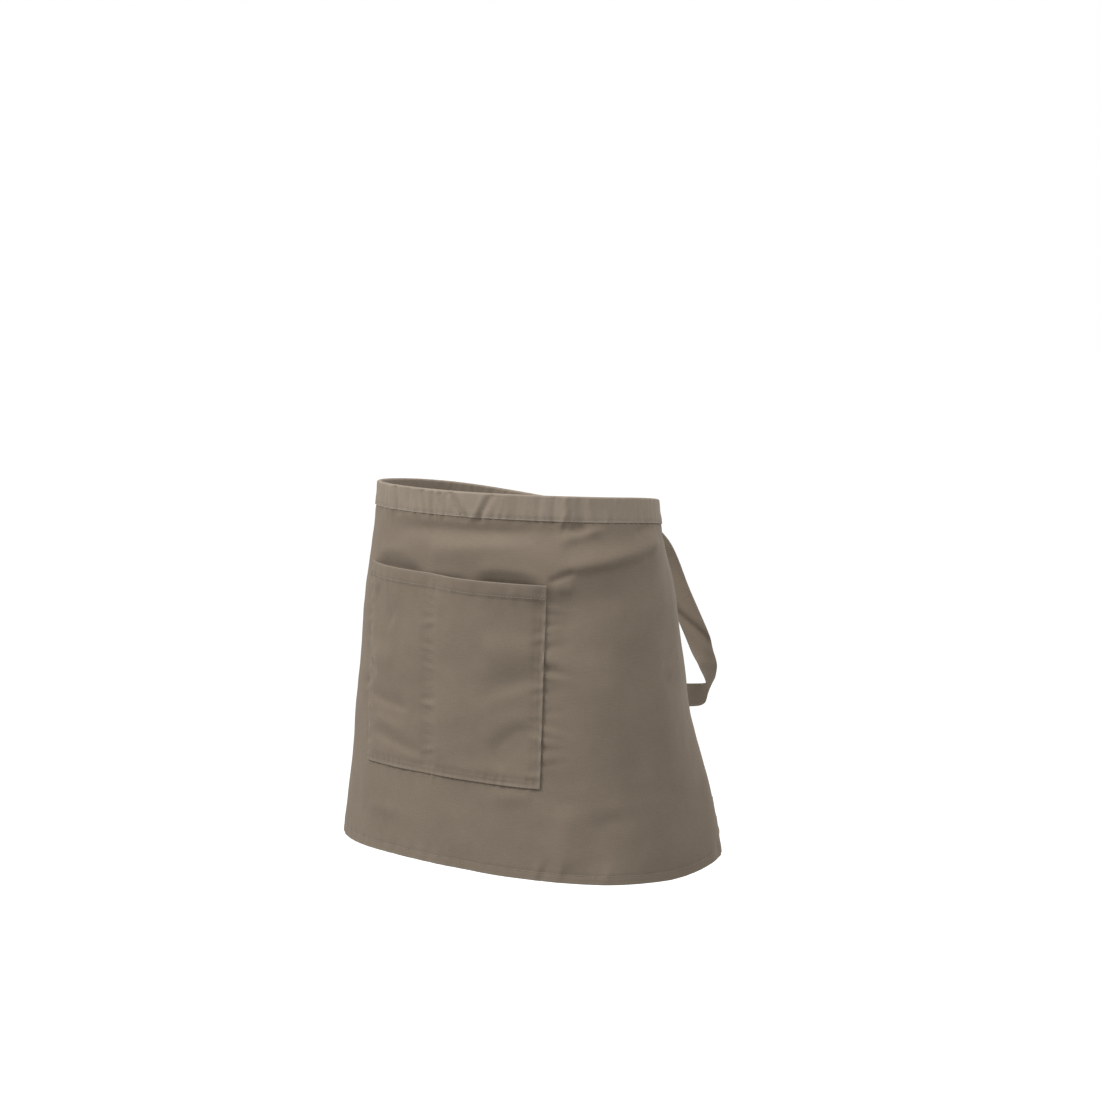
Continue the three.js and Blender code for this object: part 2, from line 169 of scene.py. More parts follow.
def undulation(run: Place, drop: Place, pitch: float, seed: int) -> Place:
    """A gentle unevenness with no direction of its own, as hanging cloth has.

    Args:
        run: The places' runs.
        drop: The places' drops.
        pitch: The middle one of its wavelengths.
        seed: Picks the directions and the phases.

    Returns:
        The unevenness, mostly between -1 and 1.
    """
    waves, usual_peak = 14, 3.8
    draws = np.random.default_rng(seed)
    total = np.zeros(np.broadcast(run, drop).shape)
    for _ in range(waves):
        turn = draws.uniform(0, math.pi)
        length = pitch * draws.uniform(0.7, 1.6)
        ahead = run * math.cos(turn) + drop * math.sin(turn)
        total += np.sin(TURN * ahead / length + draws.uniform(0, TURN))
    return total / usual_peak


def spaced(
    start: float, end: float, marks: tuple[float, ...], fine: float, coarse: float, reach: float
) -> Place:
    """Grid lines that lie close together at the marks and at both ends, where seams and edges are.

    Args:
        start: The first line's place.
        end: The last line's place.
        marks: The places of the seams.
        fine: The spacing at a mark.
        coarse: The spacing well away from every mark.
        reach: How far from a mark the spacing has grown coarse.

    Returns:
        The lines' places, with a few very close ones at both ends for the rounded edge.
    """
    samples = 4000
    dense = np.linspace(start, end, samples)
    away = np.min([np.abs(dense - mark) for mark in (start, end, *marks)], axis=0)
    spacing = fine + (coarse - fine) * smooth_step(away, reach / 3, reach)
    count = np.concatenate([[0], np.cumsum((dense[1] - dense[0]) / spacing[1:])])
    lines = np.interp(np.linspace(0, count[-1], int(count[-1]) + 1), count, dense)
    rim = np.array([0.1, 0.35, 0.75])
    inside = lines[(lines > start + fine) & (lines < end - fine)]
    return np.concatenate([[start], start + rim, inside, (end - rim)[::-1], [end]])


@dataclass(frozen=True)
class Section:
    """A level of the worn form.

    wide, deep and back are shares of what the hem gains on the waist, and square is the power of the
    superellipse, 2 for a plain ellipse.
    """

    drop: float
    wide: float
    deep: float
    back: float
    square: float


@dataclass(frozen=True)
class WornForm:
    """The bare surface on which the cloth lies when it is worn, without its folds."""

    panel_width: float = 750.0
    height: float = 373.0
    back_gap: float = 103.0
    depth_share: float = 0.776
    hem_flare: float = 60.0
    hem_depth_flare: float = 31.0
    hem_set_back: float = 18.5
    front_rise: float = 10.0
    side_rise: float = 5.0
    left_dip: float = 2.0
    back_dip: float = 8.0
    front_take_up: float = 7.0
    edge_take_up: float = 9.0
    edge_share: float = 0.08
    sections: tuple[Section, ...] = (
        Section(0, 0, 0, 0, 2.1),
        Section(0.25, 0.272, 0.305, 0.25, 2.12),
        Section(0.5, 0.49, 0.523, 0.5, 2.15),
        Section(0.75, 0.716, 0.729, 0.745, 2.18),
        Section(1, 1, 1, 1, 2.21),
    )
    levels: int = 96
    run_reach: int = 440
    ring_steps: int = 960

    def ring(self, half_width: float, half_depth: float, back: float, square: float) -> Place:
        """One level of the form, from the centre back round the right side, the front and the left side.

        Args:
            half_width: Half the level's width.
            half_depth: Half its depth.
            back: How far it is set back.
            square: The power of the superellipse.

        Returns:
            Rows of x, y, angle from the front, and run from the centre front.
        """
        angle = np.linspace(-math.pi, math.pi, self.ring_steps + 1)
        across = np.abs(np.sin(angle) / half_width) ** square
        along = np.abs(np.cos(angle) / half_depth) ** square
        radius = (across + along) ** (-1 / square)
        x, y = radius * np.sin(angle), back - radius * np.cos(angle)
        run = np.concatenate([[0], np.cumsum(np.hypot(np.diff(x), np.diff(y)))])
        return np.stack([x, y, angle, run - run[self.ring_steps // 2]], axis=1)

    @cached_property
    def half_waist(self) -> float:
        """Half the waist's width, as its girth makes it."""
        plain = self.ring(1, self.depth_share, 0, self.sections[0].square)
        return (self.panel_width + self.back_gap) / (2 * plain[-1, 3])

    @cached_property
    def rings(self) -> list[Place]:
        """The form's rings.

        Returns:
            One for every level from the waist to the hem.
        """
        shares = np.array([[row.wide, row.deep, row.back, row.square] for row in self.sections])
        places = np.linspace(0, len(self.sections) - 1, self.levels + 1)
        return [
            self.ring(
                self.half_waist + self.hem_flare * wide,
                self.half_waist * self.depth_share + self.hem_depth_flare * deep,
                self.hem_set_back * back,
                square,
            )
            for wide, deep, back, square in smooth_read(shares, places)
        ]

    @cached_property
    def threads(self) -> Place:
        """The form as a grid of points.

        Returns:
            The points, as [level, column, xyz], with a column at every millimetre of run.
        """
        runs = np.arange(-self.run_reach, self.run_reach + 1, dtype=float)
        x, y, angle = (
            np.array([np.interp(runs, ring[:, 3], ring[:, column]) for ring in self.rings])
            for column in range(3)
        )
        top = self.front_rise * np.cos(angle[0]) + self.side_rise * np.sin(angle[0]) ** 2
        top -= self.left_dip * np.sin(angle[0]) + self.back_dip * np.clip(-np.cos(angle[0]), 0, 1) ** 2
        stretch = self.height / self.levels
        lean = np.hypot(np.diff(x, axis=0), np.diff(y, axis=0))
        fall = np.sqrt(np.clip(stretch**2 - lean**2, 0, None))
        edge = smooth_step(np.abs(runs) / self.panel_width, 0.5 - 2 * self.edge_share, 0.5)
        take_up = self.front_take_up * np.clip(np.cos(angle[1:]), 0, 1) + self.edge_take_up * edge
        fallen = np.cumsum(fall - take_up / self.levels, axis=0)
        z = top - np.concatenate([np.zeros((1, len(runs))), fallen])
        return np.stack([x, y, z], axis=-1)

    def points(self, run: Place, drop: Place) -> Place:
        """Points of the bare form.

        Args:
            run: The places' runs.
            drop: The places' drops.

        Returns:
            The points, with a last axis of x, y and z.
        """
        column = np.clip(run + self.run_reach, 0, 2 * self.run_reach - 1e-6)
        level = np.clip(drop / self.height, 0, 1 - 1e-9) * self.levels
        left, high = np.floor(column).astype(int), np.floor(level).astype(int)
        across, down = (column - left)[..., None], (level - high)[..., None]
        grid = self.threads
        upper = grid[high, left] * (1 - across) + grid[high, left + 1] * across
        lower = grid[high + 1, left] * (1 - across) + grid[high + 1, left + 1] * across
        return upper * (1 - down) + lower * down

    def normals(self, run: Place, drop: Place) -> Place:
        """Outward directions of the bare form.

        Args:
            run: The places' runs.
            drop: The places' drops.

        Returns:
            The directions, each of length one.
        """
        reach = 6.0
        high = np.clip(drop - reach, 0, self.height - 2 * reach)
        sideways = self.points(run + reach, drop) - self.points(run - reach, drop)
        downwards = self.points(run, high + 2 * reach) - self.points(run, high)
        return unit(np.cross(downwards, sideways))

    def back_run(self, drop: float) -> float:
        """The run of the centre back at a drop."""
        level = drop / self.height * self.levels
        return float(np.interp(level, range(self.levels + 1), [ring[-1, 3] for ring in self.rings]))


class Feature:
    """Anything that lifts or sinks the cloth by a little: a fold, gathers, a seam or all of them."""

    def height(self, run: Place, drop: Place) -> Place:
        """How far it lifts the cloth, below zero where it sinks it.

        Args:
            run: The places' runs.
            drop: The places' drops.

        Returns:
            The height at each place.
        """
        raise NotImplementedError


@dataclass(frozen=True)
class Fold(Feature):
    """A soft ridge, or a hollow where its rise is below zero, along a line on the flat cloth.

    bow swings the line's middle towards its lower side, softer spreads that side and makes the upper one
    steep, and fade is the share of the line over which the fold dies away at each end. Without it the ends
    are round.
    """

    name: str
    run: float
    drop: float
    to_run: float
    to_drop: float
    spread: float
    rise: float
    bow: float = 0.0
    softer: float = 0.0
    fade: float = 0.0

    def height(self, run: Place, drop: Place) -> Place:
        """The fold's height, as every feature gives it.

        Args:
            run: The places' runs.
            drop: The places' drops.

        Returns:
            The height at each place.
        """
        line = np.array([self.to_run - self.run, self.to_drop - self.drop])
        length = float(np.hypot(*line))
        ahead, aside = line / length
        place = ((run - self.run) * ahead + (drop - self.drop) * aside) / length
        share = np.clip(place, 0, 1)
        beyond = length * (place - share)
        away = (drop - self.drop) * ahead - (run - self.run) * aside - 4 * self.bow * share * (1 - share)
        spread = self.spread * (1 + self.softer * np.tanh(away / self.spread))
        height = self.rise * np.exp(-((away / spread) ** 2) - (beyond / self.spread) ** 2)
        if self.fade:
            height = height * smooth_step(share, 0, self.fade) * smooth_step(1 - share, 0, self.fade)
        return height


@dataclass(frozen=True)
class Pucker(Feature):
    """Small gathers along a seam, where the thread has drawn the cloth in.

    at is the seam's place, start and end are how far it goes, and side is 1 where only the cloth on the far
    side of the seam puckers, -1 for the near side and 0 for both.
    """

    way: Way
    at: float
    start: float
    end: float
    pitch: float
    reach: float
    rise: float
    seed: int
    side: int = 0

    def height(self, run: Place, drop: Place) -> Place:
        """The gathers' height, as every feature gives it.

        Args:
            run: The places' runs.
            drop: The places' drops.

        Returns:
            The height at each place.
        """
        soft_end, drift_share, drift_length = 3, 0.25, 61
        near, far = -1.0, 1.5
        along, across = (run, drop) if self.way is Way.ALONG_THE_WAIST else (drop, run)
        away = across - self.at
        started = smooth_step(along, self.start - soft_end, self.start + soft_end)
        unended = smooth_step(-along, -self.end - soft_end, soft_end - self.end)
        inside = started * unended
        sided = 1.0 if self.side == 0 else smooth_step(self.side * away, near, far)
        drift = drift_share * away * np.sin(TURN * along / drift_length)
        wave = irregular_wave(along + drift, self.pitch, self.seed)
        return self.rise * inside * sided * np.exp(-((away / self.reach) ** 2)) * wave


@dataclass(frozen=True)
class Seam(Feature):
    """A row of stitching that sinks a little into the cloth, from one place on it to another."""

    run: float
    drop: float
    to_run: float
    to_drop: float
    depth: float = 0.35
    reach: float = 1.5

    def height(self, run: Place, drop: Place) -> Place:
        """The seam's height, as every feature gives it.

        Args:
            run: The places' runs.
            drop: The places' drops.

        Returns:
            The height at each place.
        """
        line = np.array([self.to_run - self.run, self.to_drop - self.drop])
        length = float(np.hypot(*line))
        share = ((run - self.run) * line[0] + (drop - self.drop) * line[1]) / length**2
        held = np.clip(share, 0, 1)
        away = np.hypot(run - self.run - held * line[0], drop - self.drop - held * line[1])
        return -self.depth * np.exp(-((away / self.reach) ** 2))


@dataclass(frozen=True)
class Relief(Feature):
    """Everything that lifts or sinks a cloth from the bare form, with a coarse and a fine unevenness."""

    folds: tuple[Fold, ...] = ()
    puckers: tuple[Pucker, ...] = ()
    seams: tuple[Seam, ...] = ()
    unevenness: float = 0.0
    seed: int = 0
    coarse: float = 70.0
    fine: float = 24.0
    fine_share: float = 0.3

    def height(self, run: Place, drop: Place) -> Place:
        """The whole relief's height.

        Args:
            run: The places' runs.
            drop: The places' drops.

        Returns:
            The height at each place.
        """
        total = np.zeros(np.broadcast(run, drop).shape)
        for part in (*self.folds, *self.puckers, *self.seams):
            total += part.height(run, drop)
        if self.unevenness:
            total += self.unevenness * undulation(run, drop, self.coarse, self.seed)
            total += self.fine_share * self.unevenness * undulation(run, drop, self.fine, self.seed + 1)
        return total


def to_linear(hex_colour: str) -> tuple[float, float, float, float]:
    """Turns an sRGB hex colour to linear light.

    Args:
        hex_colour: The colour as #rrggbb.

    Returns:
        Red, green and blue in linear light, and an alpha of 1.
    """
    shares = [int(hex_colour[start : start + 2], 16) / 255 for start in (1, 3, 5)]
    linear = [s / 12.92 if s <= 0.04045 else ((s + 0.055) / 1.055) ** 2.4 for s in shares]
    return (linear[0], linear[1], linear[2], 1.0)


def add_node(tree: bpy.types.NodeTree, kind: str, settings: dict, sockets: dict) -> bpy.types.Node:
    """Adds a node with its settings and links.

    Args:
        tree: The node tree that it goes in.
        kind: The node's Blender type.
        settings: Values for the node's own properties.
        sockets: For each input, by name or number, a value or the output that feeds it.

    Returns:
        The new node.
    """
    node = tree.nodes.new(kind)
    for name, value in settings.items():
        setattr(node, name, value)
    for name, value in sockets.items():
        if isinstance(value, bpy.types.NodeSocket):
            tree.links.new(value, node.inputs[name])
        else:
            node.inputs[name].default_value = value
    return node


@dataclass(frozen=True)
class Finish:
    """What every finish shares: a material that is made once, from nodes alone."""

    name: str

    @cached_property
    def material(self) -> bpy.types.Material:
        """The finish as a material.

        Returns:
            The material, with its shader joined to its output.
        """
        material = bpy.data.materials.new(self.name)
        material.use_nodes = True
        tree = material.node_tree
        tree.nodes.clear()
        shader = add_node(tree, "ShaderNodeBsdfPrincipled", {}, self.sockets(tree)).outputs["BSDF"]
        add_node(tree, "ShaderNodeOutputMaterial", {}, {"Surface": shader})
        return material

    def sockets(self, tree: bpy.types.NodeTree) -> dict:
        """What the finish gives its shader.

        Args:
            tree: The material's node tree, in which its patterns are made.

        Returns:
            A value or an output for each of the shader's inputs.
        """
        raise NotImplementedError


@dataclass(frozen=True)
class TwillFinish(Finish):
    """Piece-dyed twill of polyester and cotton, woven.

    The diagonal ribs of its weave and its short fibres make it matt, with a faint bloom where it turns away.
    """

    name: str = "polycotton_twill"
    cloth: str = "#887b6c"
    shade: str = "#7c7062"
    worn: str = "#9b8f82"
    bloom: str = "#e8dccf"
    rib_pitch: float = 1.7
    rib_angle: float = 63.0
    rib_depth: float = 0.12
    yarn_width: float = 0.9
    yarn_slimness: float = 0.09
    fuzz_size: float = 2.4
    cloud_size: float = 55.0
    cloud_share: float = 0.16
    roughness: float = 0.88
    ior: float = 1.5

    def sockets(self, tree: bpy.types.NodeTree) -> dict:
        """The twill's ribs, yarns, clouds of dye, fuzz and worn edges.

        Args:
            tree: The material's node tree.

        Returns:
            A value or an output for each of the shader's inputs.
        """
        flat = add_node(tree, "ShaderNodeUVMap", {"uv_map": CLOTH_MAP}, {}).outputs["UV"]
        lean = (0.0, 0.0, math.radians(self.rib_angle))
        turned = add_node(tree, "ShaderNodeMapping", {}, {"Vector": flat, "Rotation": lean})
        # Real ribs are about 0.6 mm apart, too fine to show, so they are drawn nearly three times as coarse
        ribs = add_node(tree, "ShaderNodeTexWave", {"wave_type": "BANDS", "bands_direction": "X"}, {
            "Vector": turned.outputs["Vector"],
            "Scale": WAVE_SCALE / (self.rib_pitch * MM),
            "Distortion": 1.2,
            "Detail": 2.0,
            "Detail Scale": 1.5,
        }).outputs["Fac"]
        yarns = []
        for scale in ((1.0, self.yarn_slimness, 1.0), (self.yarn_slimness, 1.0, 1.0)):
            drawn = add_node(tree, "ShaderNodeMapping", {}, {"Vector": flat, "Scale": scale})
            yarns.append(add_node(tree, "ShaderNodeTexNoise", {}, {
                "Vector": drawn.outputs["Vector"],
                "Scale": 1 / (self.yarn_width * MM),
                "Detail": 3.0,
                "Roughness": 0.6,
            }).outputs["Fac"])
        clouds, fuzz = (
            add_node(tree, "ShaderNodeTexNoise", {}, {
                "Vector": flat, "Scale": 1 / (size * MM), "Detail": detail, "Roughness": rough,
            }).outputs["Fac"]
            for size, detail, rough in ((self.cloud_size, 4.0, 0.55), (self.fuzz_size, 5.0, 0.7))
        )
        add = {"operation": "MULTIPLY_ADD"}
        crossed = add_node(tree, "ShaderNodeMath", add, {0: yarns[0], 1: 0.6, 2: yarns[1]}).outputs["Value"]
        weave = add_node(tree, "ShaderNodeMath", add, {0: ribs, 1: 0.5, 2: crossed}).outputs["Value"]
        height = add_node(tree, "ShaderNodeMath", add, {0: fuzz, 1: 0.5, 2: weave}).outputs["Value"]
        tone = add_node(tree, "ShaderNodeMapRange", {"interpolation_type": "SMOOTHSTEP"}, {
            "Value": weave, "From Min": 0.65, "From Max": 1.55,
        }).outputs["Result"]
        wear = add_node(tree, "ShaderNodeAttribute", {"attribute_name": WEAR}, {}).outputs["Fac"]
        multiply = {"operation": "MULTIPLY"}
        rubbed = add_node(tree, "ShaderNodeMath", multiply, {0: wear, 1: fuzz}).outputs["Value"]
        colour = to_linear(self.shade)
        for mode, share, layer in (
            ("MIX", tone, to_linear(self.cloth)),
            ("SOFT_LIGHT", self.cloud_share, clouds),
            ("MIX", rubbed, to_linear(self.worn)),
        ):
            colour = add_node(tree, "ShaderNodeMix", {"data_type": "RGBA", "blend_type": mode}, {
                "Factor": share, 6: colour, 7: layer,
            }).outputs[2]
        bump = add_node(tree, "ShaderNodeBump", {}, {
            "Height": height, "Strength": 0.55, "Distance": self.rib_depth * MM,
        }).outputs["Normal"]
        rough = add_node(tree, "ShaderNodeMapRange", {}, {
            "Value": fuzz, "To Min": self.roughness - 0.06, "To Max": self.roughness + 0.08,
        }).outputs["Result"]
        return {
            "Base Color": colour,
            "Roughness": rough,
            "Normal": bump,
            "IOR": self.ior,
            "Specular IOR Level": 0.25,
            "Sheen Weight": 0.12,
            "Sheen Roughness": 0.45,
            "Sheen Tint": to_linear(self.bloom),
        }


@dataclass(frozen=True)
class ThreadFinish(Finish):
    """Spun polyester sewing thread, dyed to the cloth. Its twist gives each stitch a fine slanting grain."""

    name: str = "spun_polyester_thread"
    thread: str = "#9b8f81"
    shade: str = "#857a6e"
    twist_pitch: float = 0.5
    twist_angle: float = 35.0
    twist_depth: float = 0.06
    roughness: float = 0.7
    ior: float = 1.53

    def sockets(self, tree: bpy.types.NodeTree) -> dict:
        """The thread's twist, which runs slantwise round it.

        Args:
            tree: The material's node tree.

        Returns:
            A value or an output for each of the shader's inputs.
        """
        flat = add_node(tree, "ShaderNodeUVMap", {"uv_map": CLOTH_MAP}, {}).outputs["UV"]
        lean = (0.0, 0.0, math.radians(self.twist_angle))
        slanted = add_node(tree, "ShaderNodeMapping", {}, {"Vector": flat, "Rotation": lean})
        twist = add_node(tree, "ShaderNodeTexWave", {"wave_type": "BANDS", "bands_direction": "X"}, {
            "Vector": slanted.outputs["Vector"],
            "Scale": WAVE_SCALE / (self.twist_pitch * MM),
            "Distortion": 0.6,
        }).outputs["Fac"]
        colour = add_node(tree, "ShaderNodeMix", {"data_type": "RGBA"}, {
            "Factor": twist, 6: to_linear(self.shade), 7: to_linear(self.thread),
        }).outputs[2]
        bump = add_node(tree, "ShaderNodeBump", {}, {
            "Height": twist, "Strength": 0.5, "Distance": self.twist_depth * MM,
        }).outputs["Normal"]
        return {
            "Base Color": colour,
            "Normal": bump,
            "Roughness": self.roughness,
            "IOR": self.ior,
            "Sheen Weight": 0.1,
        }


@dataclass(frozen=True)
class FloorFinish(Finish):
    """Matt white paint on the studio's floor, which scatters the light so that no gloss shows."""

    name: str = "matt_white_paint"
    paint: str = "#f4f4f3"
    roughness: float = 0.9
    glow: float = 0.5

    def sockets(self, tree: bpy.types.NodeTree) -> dict:
        """The paint's plain values."""
        colour = to_linear(self.paint)
        return {
            "Base Color": colour,
            "Roughness": self.roughness,
            "Specular IOR Level": 0.1,
            "Emission Color": colour,
            "Emission Strength": self.glow,
        }


def add_mesh(
    name: str, points: Place, faces: Faces, flat: Place, wear: Place, material: bpy.types.Material
) -> bpy.types.Object:
    """Makes a closed mesh, turned so that its faces look out, and rides it on the frame's body.

    Args:
        name: The piece's name.
        points: Its points, in millimetres.
        faces: Each face's point numbers, all going round the same way.
        flat: Each point's place on the flat cloth, in millimetres, for the material.
        wear: How rubbed each point is, from 0 to 1.
        material: Its finish.

    Returns:
        The new object.
    """
    fans = np.array([
        (face[0], face[at], face[at + 1]) for face in faces for at in range(1, len(face) - 1)
    ])
    a, b, c = (points[fans[:, corner]] for corner in range(3))
    if np.einsum("ij,ij->i", a, np.cross(b, c)).sum() < 0:
        faces = [face[::-1] for face in faces]
    mesh = bpy.data.meshes.new(name)
    mesh.from_pydata((points * MM).tolist(), [], faces)
    mesh.polygons.foreach_set("use_smooth", np.ones(len(mesh.polygons), dtype=bool))
    used = np.zeros(len(mesh.loops), dtype=np.int32)
    mesh.loops.foreach_get("vertex_index", used)
    layer = mesh.uv_layers.new(name=CLOTH_MAP)
    layer.uv.foreach_set("vector", (flat[used] * MM).astype(np.float32).ravel())
    rubbed = mesh.attributes.new(WEAR, "FLOAT", "POINT")
    rubbed.data.foreach_set("value", wear.astype(np.float32))
    mesh.materials.append(material)
    mesh.update()
    piece = bpy.data.objects.new(name, mesh)
    bpy.context.scene.collection.objects.link(piece)
    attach(piece, BODY)
    log.info("%s: %d faces", name, len(faces))
    return piece


def grid_faces(numbers: Place) -> Faces:
    """Four-cornered faces between the neighbours in a grid of point numbers."""
    corners = (numbers[:-1, :-1], numbers[:-1, 1:], numbers[1:, 1:], numbers[1:, :-1])
    return np.stack([corner.ravel() for corner in corners], axis=1).tolist()


def wall_faces(rows: int, columns: int) -> Faces:
    """Faces of a closed wall whose front is a grid of points and whose back is another, numbered after it.

    Args:
        rows: How many rows each grid has.
        columns: How many columns each grid has.

    Returns:
        The faces of the front, the back and the rim.
    """
    front = np.arange(rows * columns).reshape(rows, columns)
    faces = grid_faces(front) + grid_faces(front[:, ::-1] + front.size)
    for rim in (front[0], front[:, -1], front[-1, ::-1], front[::-1, 0]):
        faces += grid_faces(np.stack([rim + front.size, rim]))
    return faces


def tube_faces(rings: int, around: int) -> Faces:
    """Faces of a closed tube that is made of rings, with a flat face over each end.

    Args:
        rings: How many rings it has.
        around: How many points each ring has.

    Returns:
        The faces of its side and of both ends.
    """
    numbers = np.arange(rings * around).reshape(rings, around)
    faces = grid_faces(np.concatenate([numbers, numbers[:, :1]], axis=1))
    return faces + [numbers[0, ::-1].tolist(), numbers[-1].tolist()]


def add_wall(
    name: str, sides: list[Place], flat: tuple[Place, Place], wear: Place, material: bpy.types.Material
) -> bpy.types.Object:
    """Makes a closed wall of cloth from the grids of its two faces.

    Args:
        name: The piece's name.
        sides: The points of the two faces, each as [row, column, xyz].
        flat: The grids of both coordinates on the flat cloth.
        wear: The grid of how rubbed the cloth is, from 0 to 1.
        material: Its finish.

    Returns:
        The new object.
    """
    points = np.concatenate([side.reshape(-1, 3) for side in sides])
    places = np.tile(np.stack([axis.ravel() for axis in flat], axis=1), (2, 1))
    return add_mesh(name, points, wall_faces(*wear.shape), places, np.tile(wear.ravel(), 2), material)


def lengths_along(line: Place) -> Place:
    """How far along a line of points each of them is."""
    return np.concatenate([[0], np.cumsum(np.linalg.norm(np.diff(line, axis=0), axis=1))])


def read_along(line: Place, length: Place, at: Place) -> Place:
    """Rows of a table of x, y and z, read at lengths between those of its own rows."""
    return np.stack([np.interp(at, length, line[:, axis]) for axis in range(3)], axis=1)


def rounded(away: Place, radius: float) -> Place:
    """The share of its full thickness that a wall with a rounded edge has at a distance from the edge."""
    thinnest = 0.04
    return np.sqrt(1 - (1 - np.clip(away / radius, 0, 1)) ** 2) * (1 - thinnest) + thinnest


@dataclass(frozen=True)
class Stitching:
    """Lockstitch in sewing thread: short raised stitches, each arched a little out of the cloth."""

    pitch: float = 3.0
    length: float = 2.5
    thread: float = 0.6
    sides: int = 5

    def template(self) -> tuple[Place, Faces]:
        """One stitch along x with its arch towards z.

        Returns:
            Its points, in shares of half a stitch along x and of the thread's half width across, and its
            faces.
        """
        # Places along the stitch, each with its size and height: its ends are thin and sunk into the cloth
        stations = [(-1.0, 0.35, -0.9), (-0.72, 1.0, 0.1), (0.72, 1.0, 0.1), (1.0, 0.35, -0.9)]
        turn = np.arange(self.sides) / self.sides * TURN
        points = np.array([
            [x, size * math.cos(t), lift + size * math.sin(t)] for x, size, lift in stations for t in turn
        ])
        return points, tube_faces(len(stations), self.sides)

    def add(self, name: str, rows: list[tuple[Place, Place]], finish: ThreadFinish) -> bpy.types.Object:
        """Sews rows of stitches.

        Args:
            name: The piece's name.
            rows: For each row, the points that it follows and the cloth's outward directions there.
            finish: The thread's finish.

        Returns:
            The stitches, as one object.
        """
        points, faces = self.template()
        made, sewn, flat = [], [], []
        count = 0
        for line, outward in rows:
            length = lengths_along(line)
            number = max(int(length[-1] / self.pitch), 1)
            middles = (np.arange(number) + 0.5) * length[-1] / number
            half = self.length / 2
            along = unit(read_along(line, length, middles + half) - read_along(line, length, middles - half))
            up = unit(read_along(outward, length, middles))
            across = unit(np.cross(up, along))
            up = np.cross(along, across)
            shape = points * np.array([half, self.thread / 2, self.thread / 2])
            placed = (
                read_along(line, length, middles)[:, None]
                + along[:, None] * shape[None, :, :1]
                + across[:, None] * shape[None, :, 1:2]
                + up[:, None] * shape[None, :, 2:]
            )
            made.append(placed.reshape(-1, 3))
            for stitch in range(number):
                start = count + stitch * len(points)
                sewn.extend([[corner + start for corner in face] for face in faces])
            flat.append(np.tile(shape[:, :2], (number, 1)) + np.repeat(middles, len(points))[:, None])
            count += number * len(points)
        placed = np.concatenate(made)
        return add_mesh(name, placed, sewn, np.concatenate(flat), np.zeros(len(placed)), finish.material)


def straight(surface: Surface, start: tuple[float, float], end: tuple[float, float]) -> tuple[Place, Place]:
    """A row of stitching that is straight on the flat cloth.

    Args:
        surface: Gives points and outward directions for runs and drops.
        start: The run and drop where it starts.
        end: The run and drop where it ends.

    Returns:
        The row's points and outward directions.
    """
    step = 1.5
    steps = max(int(math.dist(start, end) / step), 4)
    run = np.linspace(start[0], end[0], steps)
    drop = np.linspace(start[1], end[1], steps)
    return surface(run, drop)


@dataclass(frozen=True)
class Cloth:
    """The worn form with its folds: what every piece that lies on it shares."""

    form: WornForm
    relief: Relief

    def lay(self, run: Place, drop: Place, proud: Place | float) -> Place:
        """Points of a piece that lies on the form.

        Args:
            run: The places' runs.
            drop: The places' drops.
            proud: How far each stands off the lining face.

        Returns:
            The points.
        """
        lift = self.relief.height(run, drop) + proud
        return self.form.points(run, drop) + self.form.normals(run, drop) * lift[..., None]


@dataclass
class SewnPiece:
    """What the pieces that lie on the worn form share."""

    cloth: Cloth
    finish: TwillFinish
    sewing: Stitching
    thread: ThreadFinish

    def surface(self, run: Place, drop: Place) -> tuple[Place, Place]:
        """The piece's outer face.

        Args:
            run: The places' runs.
            drop: The places' drops, which on the pocket are those before its mouth's slope.

        Returns:
            Its points and its outward directions.
        """
        raise NotImplementedError

    def sew(self, name: str, lines: list[Line]) -> bpy.types.Object:
        """Sews straight rows of stitches on the outer face.

        Args:
            name: The stitches' name.
            lines: Each row's start and end, as run and drop.

        Returns:
            The stitches, as one object.
        """
        rows = [straight(self.surface, start, end) for start, end in lines]
        return self.sewing.add(name, rows, self.thread)


